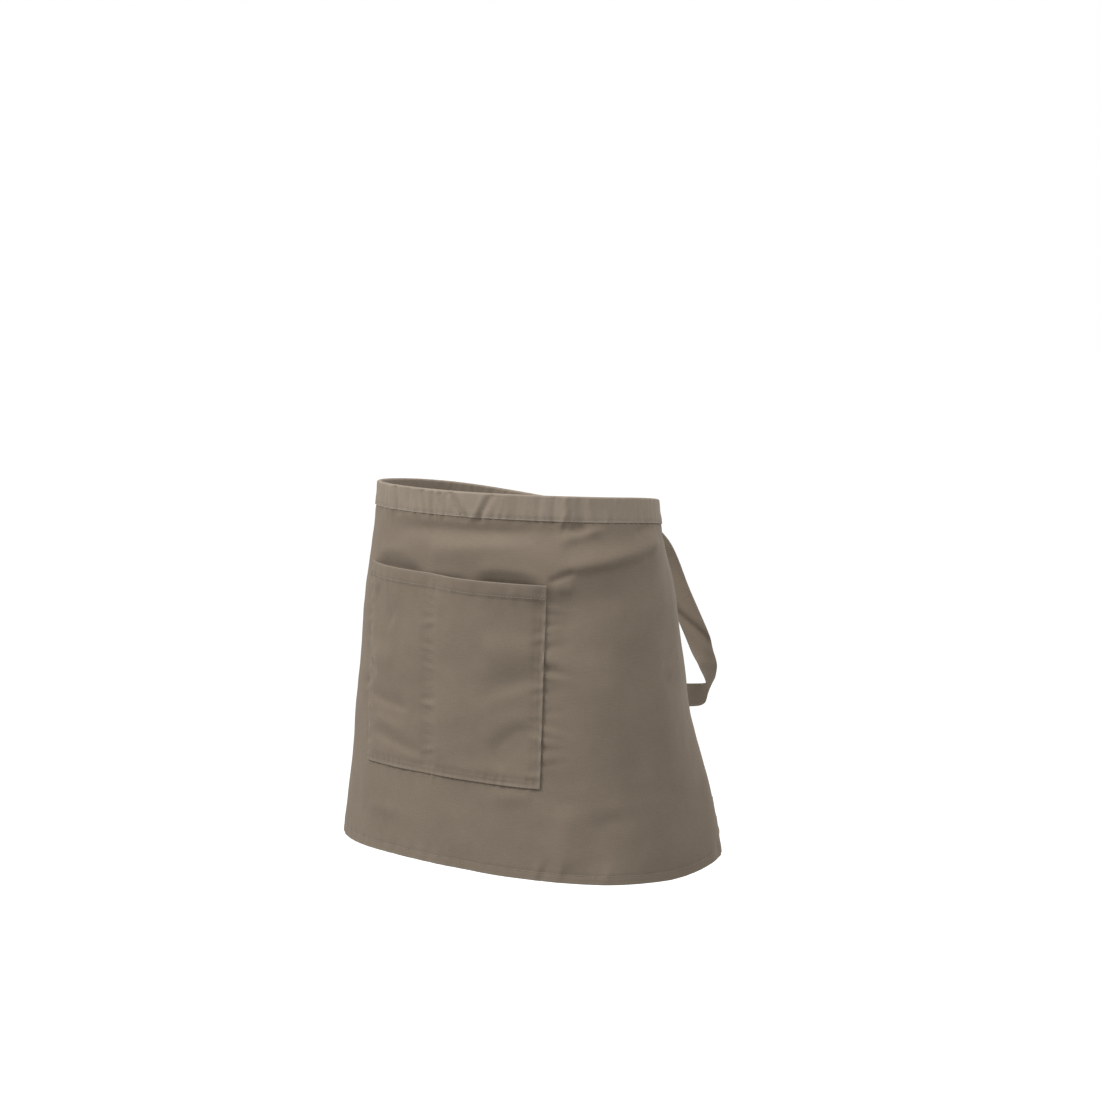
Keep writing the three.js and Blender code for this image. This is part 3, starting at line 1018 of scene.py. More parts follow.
@dataclass
class Panel(SewnPiece):
    """The apron's panel: one cloth with turned hems at its sides and its foot.

    The marks are the runs and drops of the pocket's seams and corner and of the band's lower edge, where the
    grid is fine.
    """

    node: str = "skirt"
    width: float = 750.0
    height: float = 373.0
    tuck: float = 3.0
    side_hem: float = 11.0
    bottom_hem: float = 10.0
    proud: float = 1.2
    wall: float = 0.55
    hem_wall: float = 1.5
    hem_ramp: float = 0.8
    stitch_inset: float = 1.6
    band_height: float = 25.0
    clear: float = 2.0
    rim: float = 0.75
    rub: float = 1.6
    run_marks: tuple[float, ...] = (-106.0, 0.0, 132.0, 142.0)
    drop_marks: tuple[float, ...] = (25.0, 80.0, 92.0, 284.0)

    def surface(self, run: Place, drop: Place) -> tuple[Place, Place]:
        """The panel's outer face and its outward directions at the given runs and drops."""
        return self.cloth.lay(run, drop, self.proud), self.cloth.form.normals(run, drop)

    def build(self) -> bpy.types.Object:
        """Makes the panel with its hems and their stitches.

        Returns:
            The panel.
        """
        half = self.width / 2
        hem, hem_top = half - self.side_hem, self.height - self.bottom_hem
        top, low = self.band_height + self.clear, self.height - self.clear
        runs = spaced(-half, half, (-hem, *self.run_marks, hem), fine=1.5, coarse=3.9, reach=18)
        marks = (*self.drop_marks, hem_top)
        drops = spaced(self.tuck, self.height, marks, fine=1.4, coarse=3.4, reach=18)
        run, drop = np.meshgrid(runs, drops)
        edge = np.minimum(half - np.abs(run), self.height - drop)
        hemmed = np.maximum(
            smooth_step(np.abs(run), hem - self.hem_ramp, hem) * smooth_step(drop, self.band_height, top),
            smooth_step(drop, hem_top - self.hem_ramp, hem_top),
        )
        wall = self.wall + (self.hem_wall - self.wall) * hemmed
        middle = self.proud - wall / 2
        half_wall = wall / 2 * rounded(edge, self.rim)
        sides = [self.cloth.lay(run, drop, middle + sign * half_wall) for sign in (1, -1)]
        flat = (run + Roll.PANEL.value, -drop)
        panel = add_wall("panel_cloth", sides, flat, np.exp(-edge / self.rub), self.finish.material)
        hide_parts(self.node)
        side, foot = hem + self.stitch_inset, hem_top + self.stitch_inset
        stitches = self.sew("panel_hem_stitches", [
            ((-side, top), (-side, low)),
            ((side, top), (side, low)),
            ((self.clear - half, foot), (half - self.clear, foot)),
        ])
        return panel


@dataclass
class Waistband(SewnPiece):
    """The waistband: a strip folded over the panel's top edge and sewn down through it."""

    node: str = "waistband"
    width: float = 750.0
    height: float = 25.0
    outer: float = 2.7
    inner: float = -1.5
    wall: float = 0.85
    fold_allowance: float = 4.0
    fold_steps: int = 12
    seam_mark: float = 3.5
    stitch_inset: float = 2.2
    stitch_top: float = 3.0
    flare: float = -0.5
    rim: float = 0.9
    rub: float = 1.4
    fold_rub: float = 2.5
    fold_wear: float = 0.6

    def surface(self, run: Place, drop: Place) -> tuple[Place, Place]:
        """The band's outer face and its outward directions at the given runs and drops."""
        lift = self.outer + self.flare * drop / self.height
        return self.cloth.lay(run, drop, lift), self.cloth.form.normals(run, drop)

    def profile(self) -> tuple[Place, Place, Place, Place]:
        """The folded strip's middle line, from its outer lower edge over the top to its inner lower edge.

        Returns:
            Its drops, its stand-offs, the direction of its outer face in both, and its length so far.
        """
        radius = (self.outer - self.inner - self.wall) / 2
        centre = (self.outer + self.inner) / 2
        top = radius + self.wall / 2
        leaf = spaced(0, self.height - top, (self.seam_mark,), fine=0.9, coarse=1.6, reach=8)
        turn = np.linspace(0, math.pi, self.fold_steps + 1)[1:-1]
        still, ahead = np.zeros(len(leaf)), np.ones(len(leaf))
        drop = np.concatenate([self.height - leaf, top - radius * np.sin(turn), (self.height - leaf)[::-1]])
        down = np.concatenate([still, -np.sin(turn), still])
        out = np.concatenate([ahead, np.cos(turn), -ahead])
        proud = centre + radius * out
        length = np.concatenate([[0], np.cumsum(np.hypot(np.diff(drop), np.diff(proud)))])
        return drop, proud, np.stack([down, out]), length

    def build(self) -> bpy.types.Object:
        """Makes the band and its stitches.

        Returns:
            The band.
        """
        half = self.width / 2
        runs = spaced(-half, half, (), fine=1.5, coarse=1.75, reach=30)
        drops, prouds, (down, out), length = self.profile()
        run, drop = np.meshgrid(runs, drops)
        along = np.broadcast_to(length[:, None], run.shape)
        edge = np.minimum(np.minimum(along, length[-1] - along), half - np.abs(run))
        half_wall = self.wall / 2 * rounded(edge, self.rim)
        flared = (prouds + self.flare * np.clip(out, 0, 1) * drops / self.height)[:, None]
        down, out = down[:, None], out[:, None]
        sides = [
            self.cloth.lay(run, drop + sign * down * half_wall, flared + sign * out * half_wall)
            for sign in (1, -1)
        ]
        fold = np.exp(-np.abs(along - length[-1] / 2) / self.fold_rub) * self.fold_wear
        wear = np.maximum(np.exp(-edge / self.rub), fold)
        flat = (run, along + Roll.BAND.value)
        band = add_wall("waistband_cloth", sides, flat, wear, self.finish.material)
        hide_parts(self.node)
        foot, end = self.height - self.stitch_inset, half - self.stitch_inset
        ends = [((side * end, self.stitch_top), (side * end, foot)) for side in (-1, 1)]
        stitches = self.sew("waistband_stitches", [((-end, foot), (end, foot)), *ends])
        return band


@dataclass
class Pocket(SewnPiece):
    """The wide patch pocket, sewn down its middle into two compartments.

    right and left are the distances of its sides from the divider. turning is the cloth folded under at three
    edges. stiffness, play and sink say how softly a hollow comes to rest on the panel.
    """

    own: Relief
    node: str = "pocket"
    mouth: float = 83.0
    foot: float = 284.0
    slope: float = 0.03
    right: float = 104.5
    left: float = 125.0
    taper: float = 2.5
    hem: float = 15.0
    turning: float = 8.0
    right_gape: float = 4.0
    left_gape: float = 9.0
    fullness: float = 1.5
    held_width: float = 2.0
    free_width: float = 14.0
    lining: float = 2.1
    stiffness: float = 3.0
    play: float = 0.55
    sink: float = 0.45
    wall: float = 0.6
    hem_wall: float = 1.5
    edge_wall: float = 1.0
    hem_ramp: float = 0.8
    edge_ramp: float = 1.2
    rim: float = 0.8
    rub: float = 1.8
    turning_shown: float = 7.5
    stitch_inset: float = 4.0
    stitch_top: float = 0.8
    hem_inset: float = 1.8
    bar: float = 17.0
    bar_gap: float = 4.5

    def place(self, run: Place, row: Place) -> tuple[Place, Place]:
        """Where a place of the flat pocket lies on the panel.

        Args:
            run: The places' runs.
            row: The places' drops before the mouth's slope.

        Returns:
            Its run and its drop on the panel.
        """
        down = (row - self.mouth) / (self.foot - self.mouth)
        narrow = np.where(run < 0, 1 - self.taper / self.right * down, 1.0)
        below = np.clip((self.foot - row) / (self.foot - self.mouth - self.hem), 0, 1)
        return run * narrow, row + self.slope * run * below

    def stand(self, run: Place, row: Place) -> Place:
        """How far the pocket's inner face stands off the lining face at places of the flat pocket.

        Args:
            run: The places' runs.
            row: The places' drops before the mouth's slope.

        Returns:
            The stand-off, with the mouth's gape, the compartments' fullness and the pocket's own folds.
        """
        down = (row - self.mouth) / (self.foot - self.mouth)
        width = np.where(run < 0, self.right, self.left)
        gape = np.where(run < 0, self.right_gape, self.left_gape)
        across = np.sin(math.pi * np.clip(np.abs(run) / width, 0, 1))
        seam = np.minimum(np.abs(run), width - np.abs(run))
        held = (self.held_width, self.free_width)
        free = smooth_step(seam, *held) * smooth_step(self.foot - row, *held)
        folds = self.own.height(run, row)
        lift = gape * across**1.5 * (1 - down) ** 2 + self.fullness * free + folds
        rested = np.logaddexp(0, self.stiffness * (lift + self.play)) / self.stiffness
        return self.lining + rested - self.sink

    def hemmed(self, row: Place) -> Place:
        """The share of the hem's full thickness at drops before the mouth's slope."""
        return smooth_step(self.hem - (row - self.mouth), 0, self.hem_ramp)

    def surface(self, run: Place, drop: Place) -> tuple[Place, Place]:
        """The pocket's outer face.

        Args:
            run: The places' runs.
            drop: The places' drops before the mouth's slope.

        Returns:
            Its points and its outward directions.
        """
        on_panel = self.place(run, drop)
        wall = self.wall + (self.hem_wall - self.wall) * self.hemmed(drop)
        return self.cloth.lay(*on_panel, self.stand(run, drop) + wall), self.cloth.form.normals(*on_panel)

    def build(self) -> bpy.types.Object:
        """Makes the pocket and its stitches.

        Returns:
            The pocket.
        """
        hem_line = self.mouth + self.hem
        runs = spaced(-self.right, self.left, (0.0,), fine=1.3, coarse=1.75, reach=20)
        rows = spaced(self.mouth, self.foot, (hem_line,), fine=1.2, coarse=1.75, reach=20)
        run, row = np.meshgrid(runs, rows)
        aside = np.minimum(run + self.right, self.left - run)
        edge = np.minimum(aside, np.minimum(row - self.mouth, self.foot - row))
        under = self.turning_shown - np.minimum(aside, self.foot - row)
        turned = smooth_step(under, 0, self.edge_ramp)
        wall = self.wall + np.maximum(
            (self.edge_wall - self.wall) * turned, (self.hem_wall - self.wall) * self.hemmed(row)
        )
        middle = self.stand(run, row) + wall / 2
        half_wall = wall / 2 * rounded(edge, self.rim)
        on_panel = self.place(run, row)
        sides = [self.cloth.lay(*on_panel, middle + sign * half_wall) for sign in (1, -1)]
        flat = (run + Roll.POCKET.value, -row)
        pocket = add_wall("pocket_cloth", sides, flat, np.exp(-edge / self.rub), self.finish.material)
        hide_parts(self.node)
        inset, gap = self.stitch_inset, self.bar_gap
        top, low, bar = self.mouth + self.stitch_top, self.foot - inset, self.mouth + self.bar
        right, left, hem_row = inset - self.right, self.left - inset, hem_line - self.hem_inset
        stitches = self.sew("pocket_stitches", [
            ((right, top), (right, low)),
            ((left, top), (left, low)),
            ((right, low), (left, low)),
            ((1 - self.right, hem_row), (self.left - 1, hem_row)),
            ((0, top), (0, self.foot - 1)),
            ((gap, top), (gap, bar)),
            ((gap, bar), (0, bar)),
        ])
        return pocket


@dataclass(frozen=True)
class StrapPlace:
    """A place on a hanging strap.

    out, back and down are shares of the strap's reach. In degrees, turn leans its width from upright towards
    the swing and lean turns it away from the front. full is the share of the way from the bunched width to
    the whole one.
    """

    out: float
    back: float
    down: float
    turn: float
    lean: float
    full: float


@dataclass(frozen=True)
class StrapSizes:
    """The sizes that the ties, the loops and the free ends share."""

    width: float = 24.0
    bunched: float = 13.6
    wall: float = 1.5
    pleats: int = 2
    pleat_start: float = 0.4
    narrowest: float = 0.2
    rim: float = 0.9
    rub: float = 1.5
    stitch_inset: float = 1.9
    stitch_depth: float = 0.28
    stitch_sink: float = 0.2
    knot_width: float = 30.0
    knot_height: float = 32.0
    knot_depth: float = 20.0
    under_gap: float = 1.0
    seat: float = 0.3
    bite: float = 3.0


@dataclass
class Strap:
    """A flat strap of folded cloth along a line, pleated where it is drawn narrower than it is."""

    sizes: StrapSizes
    middles: Place
    across: Place
    widths: Place
    flat_start: float
    relief: Relief = Relief()
    leaving: Place | None = None
    arriving: Place | None = None

    @cached_property
    def axes(self) -> tuple[Place, Place, Place]:
        """The strap's directions at each of its middles.

        Returns:
            Those along it, towards its edge and out of its face.
        """
        along = np.gradient(self.middles, axis=0)
        if self.leaving is not None:
            along[0] = self.leaving
        if self.arriving is not None:
            along[-1] = self.arriving
        along = unit(along)
        face = unit(np.cross(along, self.across))
        return along, np.cross(face, along), face

    def lay(self, across: Place, lift: Place) -> Place:
        """Points of the strap.

        Args:
            across: Shares of the width from -1 to 1, one for each column.
            lift: Heights out of the strap's face, one for each place and column.

        Returns:
            The points, as [place, column, xyz].
        """
        sizes = self.sizes
        _, edge, face = self.axes
        narrow = np.clip(self.widths / sizes.width, sizes.narrowest, 1)
        depth = self.widths / (math.pi * sizes.pleats) * np.sqrt(np.clip(1 / narrow - 1, 0, None))
        wave = depth[:, None] * np.sin(math.pi * sizes.pleats * across + sizes.pleat_start)
        wave = wave + self.relief.height(self.lengths[:, None], across[None, :] * sizes.width / 2)
        offset = across[None, :] * self.widths[:, None] / 2
        aside = edge[:, None] * offset[..., None]
        return self.middles[:, None] + aside + face[:, None] * (wave + lift)[..., None]

    @cached_property
    def lengths(self) -> Place:
        """How far along the strap each of its middles is."""
        return lengths_along(self.middles)

    def build(self, name: str, finish: TwillFinish) -> bpy.types.Object:
        """Makes the strap as a closed cloth with rounded edges.

        Args:
            name: The piece's name.
            finish: Its finish.

        Returns:
            The strap.
        """
        sizes = self.sizes
        half = sizes.width / 2
        columns = spaced(-half, half, (), fine=0.8, coarse=1.1, reach=8) / half
        length = self.lengths
        aside = (1 - np.abs(columns)) * half
        ends = np.minimum(length, length[-1] - length)
        edge = np.minimum(aside[None, :], ends[:, None])
        half_wall = sizes.wall / 2 * rounded(edge, sizes.rim)
        welt = sizes.stitch_depth * np.exp(-(((aside - sizes.stitch_inset) / sizes.rim) ** 2))[None, :]
        lift = half_wall - welt * (edge > sizes.rim)
        sides = [self.lay(columns, sign * lift) for sign in (1, -1)]
        flat = np.broadcast_arrays(self.flat_start + columns[None, :] * half, length[:, None])
        return add_wall(name, sides, flat, np.exp(-edge / sizes.rub), finish.material)

    def seams(self) -> list[tuple[Place, Place]]:
        """The rows of stitching along both edges, on the strap's outer face and on its other face.

        Returns:
            For each row, its points and the outward directions there.
        """
        half = self.sizes.width / 2
        at = np.array([-1, 1]) * (1 - self.sizes.stitch_inset / half)
        _, _, face = self.axes
        rows = []
        for sign in (1, -1):
            lift = sign * (self.sizes.wall / 2 - self.sizes.stitch_sink)
            lines = self.lay(at, np.full((len(self.middles), 2), lift))
            rows += [(lines[:, side], sign * face) for side in (0, 1)]
        return rows


@dataclass(frozen=True)
class KnotWrap:
    """The wrap over the knot's crossing: rounded corners, slanting pleats and a middle that is drawn in."""

    length: float = 80.0
    steps_across: int = 61
    steps_round: int = 96
    bulge: float = 1.45
    end_rim: float = 0.985
    corner: float = 3.2
    end_size: float = 0.6
    hidden_end: float = 0.02
    slant: float = 2.6
    waver: float = 0.35
    waver_start: float = 0.6
    second_waver: float = 0.12
    pleat: float = 0.035
    fine_pleat: float = 0.02
    fine_share: float = 1.7
    drawn_in: float = 0.1
    lean: float = 0.06
    radius: float = 14.0
    rub: float = 8.0
    most_worn: float = 0.6


@dataclass
class Bow:
    """The ties from the waistband's ends to the centre back, and the bow that they are tied in."""

    cloth: Cloth
    sizes: StrapSizes
    finish: TwillFinish
    sewing: Stitching
    thread: ThreadFinish
    wrap: KnotWrap = KnotWrap()
    panel_width: float = 750.0
    panel_wall: float = 1.2
    tie_wall: float = 1.8
    tie_drop: float = 12.5
    tie_overlap: float = 1.0
    tie_probe: float = 10.0
    side_shift: float = 40.0
    loop_reach: tuple[float, float, float] = (100.0, 50.0, 190.0)
    end_reach: tuple[float, float, float] = (24.0, 50.0, 290.0)
    loop_swing: float = 42.0
    loop_steps: int = 300
    end_steps: int = 170
    tie_steps: int = 46
    loop_line: tuple[StrapPlace, ...] = (
        StrapPlace(0, 0, 0, 0, 0, 0),
        StrapPlace(0.06, 0.02, 0.004, 3, 0, 0.15),
        StrapPlace(0.22, 0.25, 0.035, 30, 0, 0.6),
        StrapPlace(0.46, 0.53, 0.175, 66, 0, 1),
        StrapPlace(0.68, 0.62, 0.42, 68, 0, 1),
        StrapPlace(0.87, 0.74, 0.64, 67, 0, 1),
        StrapPlace(0.97, 0.82, 0.785, 66, 36, 1),
        StrapPlace(0.995, 0.89, 0.865, 54, 54, 1),
        StrapPlace(0.95, 0.97, 0.93, 30, 52, 1),
        StrapPlace(0.86, 0.99, 0.965, 0, 34, 1),
        StrapPlace(0.74, 0.93, 0.968, -14, 20, 1),
        StrapPlace(0.58, 0.8, 0.955, -6, 32, 1),
        StrapPlace(0.4, 0.62, 0.93, 12, 60, 1),
        StrapPlace(0.22, 0.46, 0.71, 50, 74, 1),
        StrapPlace(0.1, 0.36, 0.39, 80, 58, 0.8),
        StrapPlace(0.01, 0.14, 0.135, 90, 8, 0.25),
        StrapPlace(0, 0.1, 0, 90, 0, 0),
    )
    end_line: tuple[StrapPlace, ...] = (
        StrapPlace(0, -0.1, 0, 90, 0, 0),
        StrapPlace(0.2, -0.08, 0.12, 90, 4, 0.7),
        StrapPlace(0.55, 0, 0.35, 90, 10, 1),
        StrapPlace(0.85, 0.04, 0.65, 90, -6, 1),
        StrapPlace(1, -0.02, 1, 90, -16, 1),
    )

    @cached_property
    def back_run(self) -> float:
        """The run of the centre back at the ties' middle line."""
        return self.cloth.form.back_run(self.tie_drop)

    @cached_property
    def knot(self) -> Place:
        """The middle of the knot, on the waist at the centre back."""
        _, y, z = self.cloth.form.points(np.array([self.back_run]), np.array([self.tie_drop]))[0]
        return np.array([0, y + (self.sizes.knot_depth + self.panel_wall - self.tie_wall) / 2, z])

    def hanging(
        self,
        rows: tuple[StrapPlace, ...],
        steps: int,
        side: Side,
        reach: tuple[float, float, float],
        swing: float,
    ) -> tuple[Place, Place, Place]:
        """Reads a table of a hanging strap at even steps.

        Args:
            rows: The table.
            steps: How many steps to read it in.
            side: The side that it hangs on.
            reach: How far the shares of out, back and down go.
            swing: The angle from straight sideways that the strap is swung backwards by.

        Returns:
            The strap's middles from its start, the directions of its width, and its widths.
        """
        table = np.array([astuple(row) for row in rows], dtype=float)
        out, back, down, turn, lean, full = smooth_read(table, np.linspace(0, len(rows) - 1, steps + 1)).T
        middles = np.stack([side.value * out * reach[0], back * reach[1], -down * reach[2]], axis=1)
        turn, lean, swung = np.radians(turn), np.radians(lean), math.radians(swing)
        sideways = np.array([side.value * math.cos(swung), math.sin(swung), 0])
        away = np.array([-side.value * math.sin(swung), math.cos(swung), 0])
        across = np.cos(turn)[:, None] * UPRIGHT + np.sin(turn)[:, None] * sideways
        across = np.cos(lean)[:, None] * across + np.sin(lean)[:, None] * away
        widths = self.sizes.bunched + (self.sizes.width - self.sizes.bunched) * np.clip(full, 0, 1)
        return middles, across, widths

    def under(self, side: Side) -> Place:
        """Where a strap leaves the knot's underside."""
        out = side.value * (self.sizes.bunched / 2 + self.sizes.under_gap)
        return self.knot + np.array([out, 0, -self.sizes.knot_height / 2 - self.sizes.seat])

    def finish_strap(self, strap: Strap, kind: str, side: Side, hold: Hold) -> bpy.types.Object:
        """Args:
            strap: The strap.
            kind: The first part of its node's name.
            side: Its side.
            hold: How it is held. It is not used.

        Returns:
            The strap's cloth.
        """
        node = f"{kind}_{side.word}"
        piece = strap.build(f"{node}_cloth", self.finish)
        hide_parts(node)
        stitches = self.sewing.add(f"{node}_stitches", strap.seams(), self.thread)
        cut = (self.sizes.width * MM, round(float(strap.lengths[-1])) * MM)
        return piece

    def build_loop(self, side: Side) -> bpy.types.Object:
        """Makes the loop on one side, from the knot's side round to its underside.

        Args:
            side: Its side.

        Returns:
            The loop's cloth.
        """
        middles, across, widths = self.hanging(
            self.loop_line, self.loop_steps, side, self.loop_reach, self.loop_swing
        )
        out = side.value * TO_THE_LEFT
        leave = self.knot + (self.sizes.knot_width / 2 + self.sizes.seat) * out
        share = smooth_step(np.linspace(0, 1, self.loop_steps + 1), 0.5, 1)[:, None]
        middles = middles + leave * (1 - share) + self.under(side) * share
        first, last = middles[0] - self.sizes.bite * out, middles[-1] + self.sizes.bite * UPRIGHT
        middles = np.concatenate([[first], middles, [last]])
        across = np.concatenate([across[:1], across, across[-1:]])
        widths = np.concatenate([widths[:1], widths, widths[-1:]])
        place = Roll.LOOP.value + self.side_shift * side.value
        strap = Strap(self.sizes, middles, across, widths, place, LOOP_RELIEF, out, UPRIGHT)
        return self.finish_strap(strap, "bow_loop", side, Hold.HUNG)

    def build_end(self, side: Side) -> bpy.types.Object:
        """Makes the free end that hangs below the knot on one side.

        Args:
            side: Its side.

        Returns:
            The free end's cloth.
        """
        middles, across, widths = self.hanging(self.end_line, self.end_steps, side, self.end_reach, 0.0)
        middles = middles + self.under(side)
        middles = np.concatenate([[middles[0] + self.sizes.bite * UPRIGHT], middles])
        across = np.concatenate([across[:1], across])
        widths = np.concatenate([widths[:1], widths])
        place = Roll.END.value + self.side_shift * side.value
        strap = Strap(self.sizes, middles, across, widths, place, END_RELIEF, -UPRIGHT)
        return self.finish_strap(strap, "tie_end", side, Hold.HUNG)

    def build_tie(self, side: Side) -> bpy.types.Object:
        """Makes the tie from the waistband's end to the knot, lying as the band lies and then bunched.

        Args:
            side: Its side.

        Returns:
            The tie's cloth.
        """
        start = self.panel_width / 2 - self.tie_overlap
        end = self.back_run - self.sizes.knot_width / 2 + self.sizes.bite
        runs = np.linspace(start, end, self.tie_steps)
        share = smooth_step(runs, start, end)
        drops = np.full_like(runs, self.tie_drop)
        middles, above, below = (
            self.cloth.lay(side.value * runs, drops + shift, self.panel_wall / 2)
            for shift in (0.0, -self.tie_probe, self.tie_probe)
        )
        across = unit(above - below) * (1 - share[:, None]) + UPRIGHT * share[:, None]
        widths = self.sizes.width + (self.sizes.bunched - self.sizes.width) * share
        place = Roll.TIE.value + self.side_shift * side.value
        strap = Strap(self.sizes, middles, unit(across), widths, place, END_RELIEF)
        return self.finish_strap(strap, "tie", side, Hold.FOLDED)

    def build_knot(self) -> bpy.types.Object:
        """Makes the knot: the wrap over the crossing, drawn into pleats that run round it.

        Returns:
            The knot.
        """
        sizes, wrap = self.sizes, self.wrap
        bulge = np.sin(np.linspace(-wrap.bulge, wrap.bulge, wrap.steps_across))
        across = np.concatenate([[-1.0], bulge / math.sin(wrap.bulge) * wrap.end_rim, [1.0]])
        turn = np.arange(wrap.steps_round) / wrap.steps_round * TURN
        x, t = np.meshgrid(across, turn, indexing="ij")
        pinch = np.clip(1 - np.abs(x) ** 5, 0, 1) ** 0.5 * (1 - wrap.end_size) + wrap.end_size
        pinch = np.where(np.abs(x) >= 1, wrap.hidden_end, pinch)
        waver = wrap.waver * np.sin(t + wrap.waver_start)
        slant = x * wrap.slant + waver + wrap.second_waver * np.sin(2 * t)
        fine = wrap.fine_pleat * np.cos(TURN * wrap.fine_share * slant + 1)
        pleat = 1 + wrap.pleat * np.cos(TURN * slant) + fine
        waist = 1 - wrap.drawn_in * np.cos(math.pi * x / 2) ** 4 * (np.sin(t) ** 2)
        power = 2 / wrap.corner
        squared = [np.sign(wave) * np.abs(wave) ** power * pinch * pleat for wave in (np.cos(t), np.sin(t))]
        depth, tall = squared[0] * sizes.knot_depth / 2, squared[1] * waist * sizes.knot_height / 2
        wide = x * sizes.knot_width / 2 + wrap.lean * tall
        points = np.stack([wide, depth, tall], axis=-1) + self.knot
        place = x * sizes.knot_width / 2 + Roll.KNOT.value
        flat = np.stack([place.ravel(), t.ravel() * wrap.radius], axis=1)
        wear = np.clip((pleat.ravel() - 1) * wrap.rub, 0, wrap.most_worn)
        faces = tube_faces(*x.shape)
        knot = add_mesh("bow_knot_cloth", points.reshape(-1, 3), faces, flat, wear, self.finish.material)
        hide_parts("bow_knot")
        return knot

    def build(self) -> None:
        """Makes the ties, the knot, both loops and both free ends."""
        self.build_knot()
        for side in Side:
            self.build_tie(side)
            self.build_loop(side)
            self.build_end(side)


@dataclass(frozen=True)
class Lamp:
    """A soft square light: its place and the length of its side in metres, and its power in watts."""

    name: str
    place: tuple[float, float, float]
    size: float
    power: float


@dataclass
class Studio:
    """The camera, the soft light and the pale floor. Lengths are in metres and angles in degrees."""

    focal_length: float = 85.09
    sensor_width: float = 36.0
    view_reach: float = 200.0
    azimuth: float = 41.9
    distance: float = 2.605
    height: float = 0.202
    pitch: float = 5.7
    pan: float = 0.74
    roll: float = 0.11
    floor_height: float = -1.0
    floor_reach: float = 40.0
    sky: float = 1.0
    ambient_above: float = 0.72
    ambient_below: float = 0.3
    aim: tuple[float, float, float] = (0.0, 0.0, -0.18)
    finish: FloorFinish = FloorFinish()
    lamps: tuple[Lamp, ...] = (
        Lamp("key", (-0.9, -2.2, 1.9), 1.1, 56.0),
        Lamp("fill", (0.78, -0.22, 0.95), 0.6, 4.0),
        Lamp("back", (-0.6, 2.8, 1.6), 1.6, 26.0),
    )

    def add_camera(self) -> None:
        """Places the camera as the photograph was taken."""
        angles = (self.azimuth, self.pitch, self.pan, self.roll)
        azimuth, pitch, pan, roll = (math.radians(angle) for angle in angles)
        back = Vector((math.sin(azimuth), -math.cos(azimuth), 0))
        right = Vector((math.cos(azimuth), math.sin(azimuth), 0))
        eye = back * self.distance + Vector((0, 0, self.height))
        level = right * math.sin(pan) - back * math.cos(pan)
        aside = right * math.cos(pan) + back * math.sin(pan)
        ahead = level * math.cos(pitch) - Vector((0, 0, math.sin(pitch)))
        up = aside.cross(ahead)
        across = aside * math.cos(roll) + up * math.sin(roll)
        upright = up * math.cos(roll) - aside * math.sin(roll)
        data = bpy.data.cameras.new("camera")
        data.lens = self.focal_length
        data.sensor_width = self.sensor_width
        data.clip_end = self.view_reach
        camera = bpy.data.objects.new("camera", data)
        turn = Matrix((across, upright, -ahead)).transposed().to_4x4()
        camera.matrix_world = Matrix.Translation(eye) @ turn
        bpy.context.scene.collection.objects.link(camera)
        bpy.context.scene.camera = camera

    def add_lamp(self, lamp: Lamp) -> None:
        """Adds a lamp that faces the apron.

        Args:
            lamp: The lamp.
        """
        data = bpy.data.lights.new(lamp.name, "AREA")
        data.shape = "SQUARE"
        data.size = lamp.size
        data.energy = lamp.power
        light = bpy.data.objects.new(lamp.name, data)
        aim = Vector(self.aim) - Vector(lamp.place)
        turn = aim.to_track_quat("-Z", "Y").to_matrix().to_4x4()
        light.matrix_world = Matrix.Translation(lamp.place) @ turn
        bpy.context.scene.collection.objects.link(light)

    def add_surroundings(self) -> None:
        """Adds the pale light from all round, which is weaker from below and plain white to the camera."""
        world = bpy.data.worlds.new("studio")
        world.use_nodes = True
        tree = world.node_tree
        tree.nodes.clear()
        towards = add_node(tree, "ShaderNodeTexCoord", {}, {}).outputs["Generated"]
        height = add_node(tree, "ShaderNodeSeparateXYZ", {}, {0: towards}).outputs["Z"]
        light = add_node(tree, "ShaderNodeMapRange", {}, {
            "Value": height, "From Min": -1.0, "To Min": self.ambient_below, "To Max": self.ambient_above,
        }).outputs["Result"]
        seen = add_node(tree, "ShaderNodeLightPath", {}, {}).outputs["Is Camera Ray"]
        mixed = {"Factor": seen, 2: light, 3: self.sky}
        strength = add_node(tree, "ShaderNodeMix", {"data_type": "FLOAT"}, mixed).outputs[0]
        white = {"Color": to_linear("#ffffff"), "Strength": strength}
        shade = add_node(tree, "ShaderNodeBackground", {}, white).outputs["Background"]
        add_node(tree, "ShaderNodeOutputWorld", {}, {"Surface": shade})
        bpy.context.scene.world = world
        bpy.context.scene.view_settings.view_transform = "Standard"

    def add_floor(self) -> None:
        """Adds the floor, well below the apron."""
        reach, low = self.floor_reach, self.floor_height
        corners = [(x * reach, y * reach, low) for x, y in ((-1, -1), (1, -1), (1, 1), (-1, 1))]
        mesh = bpy.data.meshes.new("floor")
        mesh.from_pydata(corners, [], [(0, 1, 2, 3)])
        mesh.materials.append(self.finish.material)
        floor = bpy.data.objects.new("floor", mesh)
        floor.visible_diffuse = False
        bpy.context.scene.collection.objects.link(floor)

    def build(self) -> None:
        """Adds the camera, the lights, the pale surroundings and the floor."""
        self.add_camera()
        for lamp in self.lamps:
            self.add_lamp(lamp)
        self.add_surroundings()
        self.add_floor()


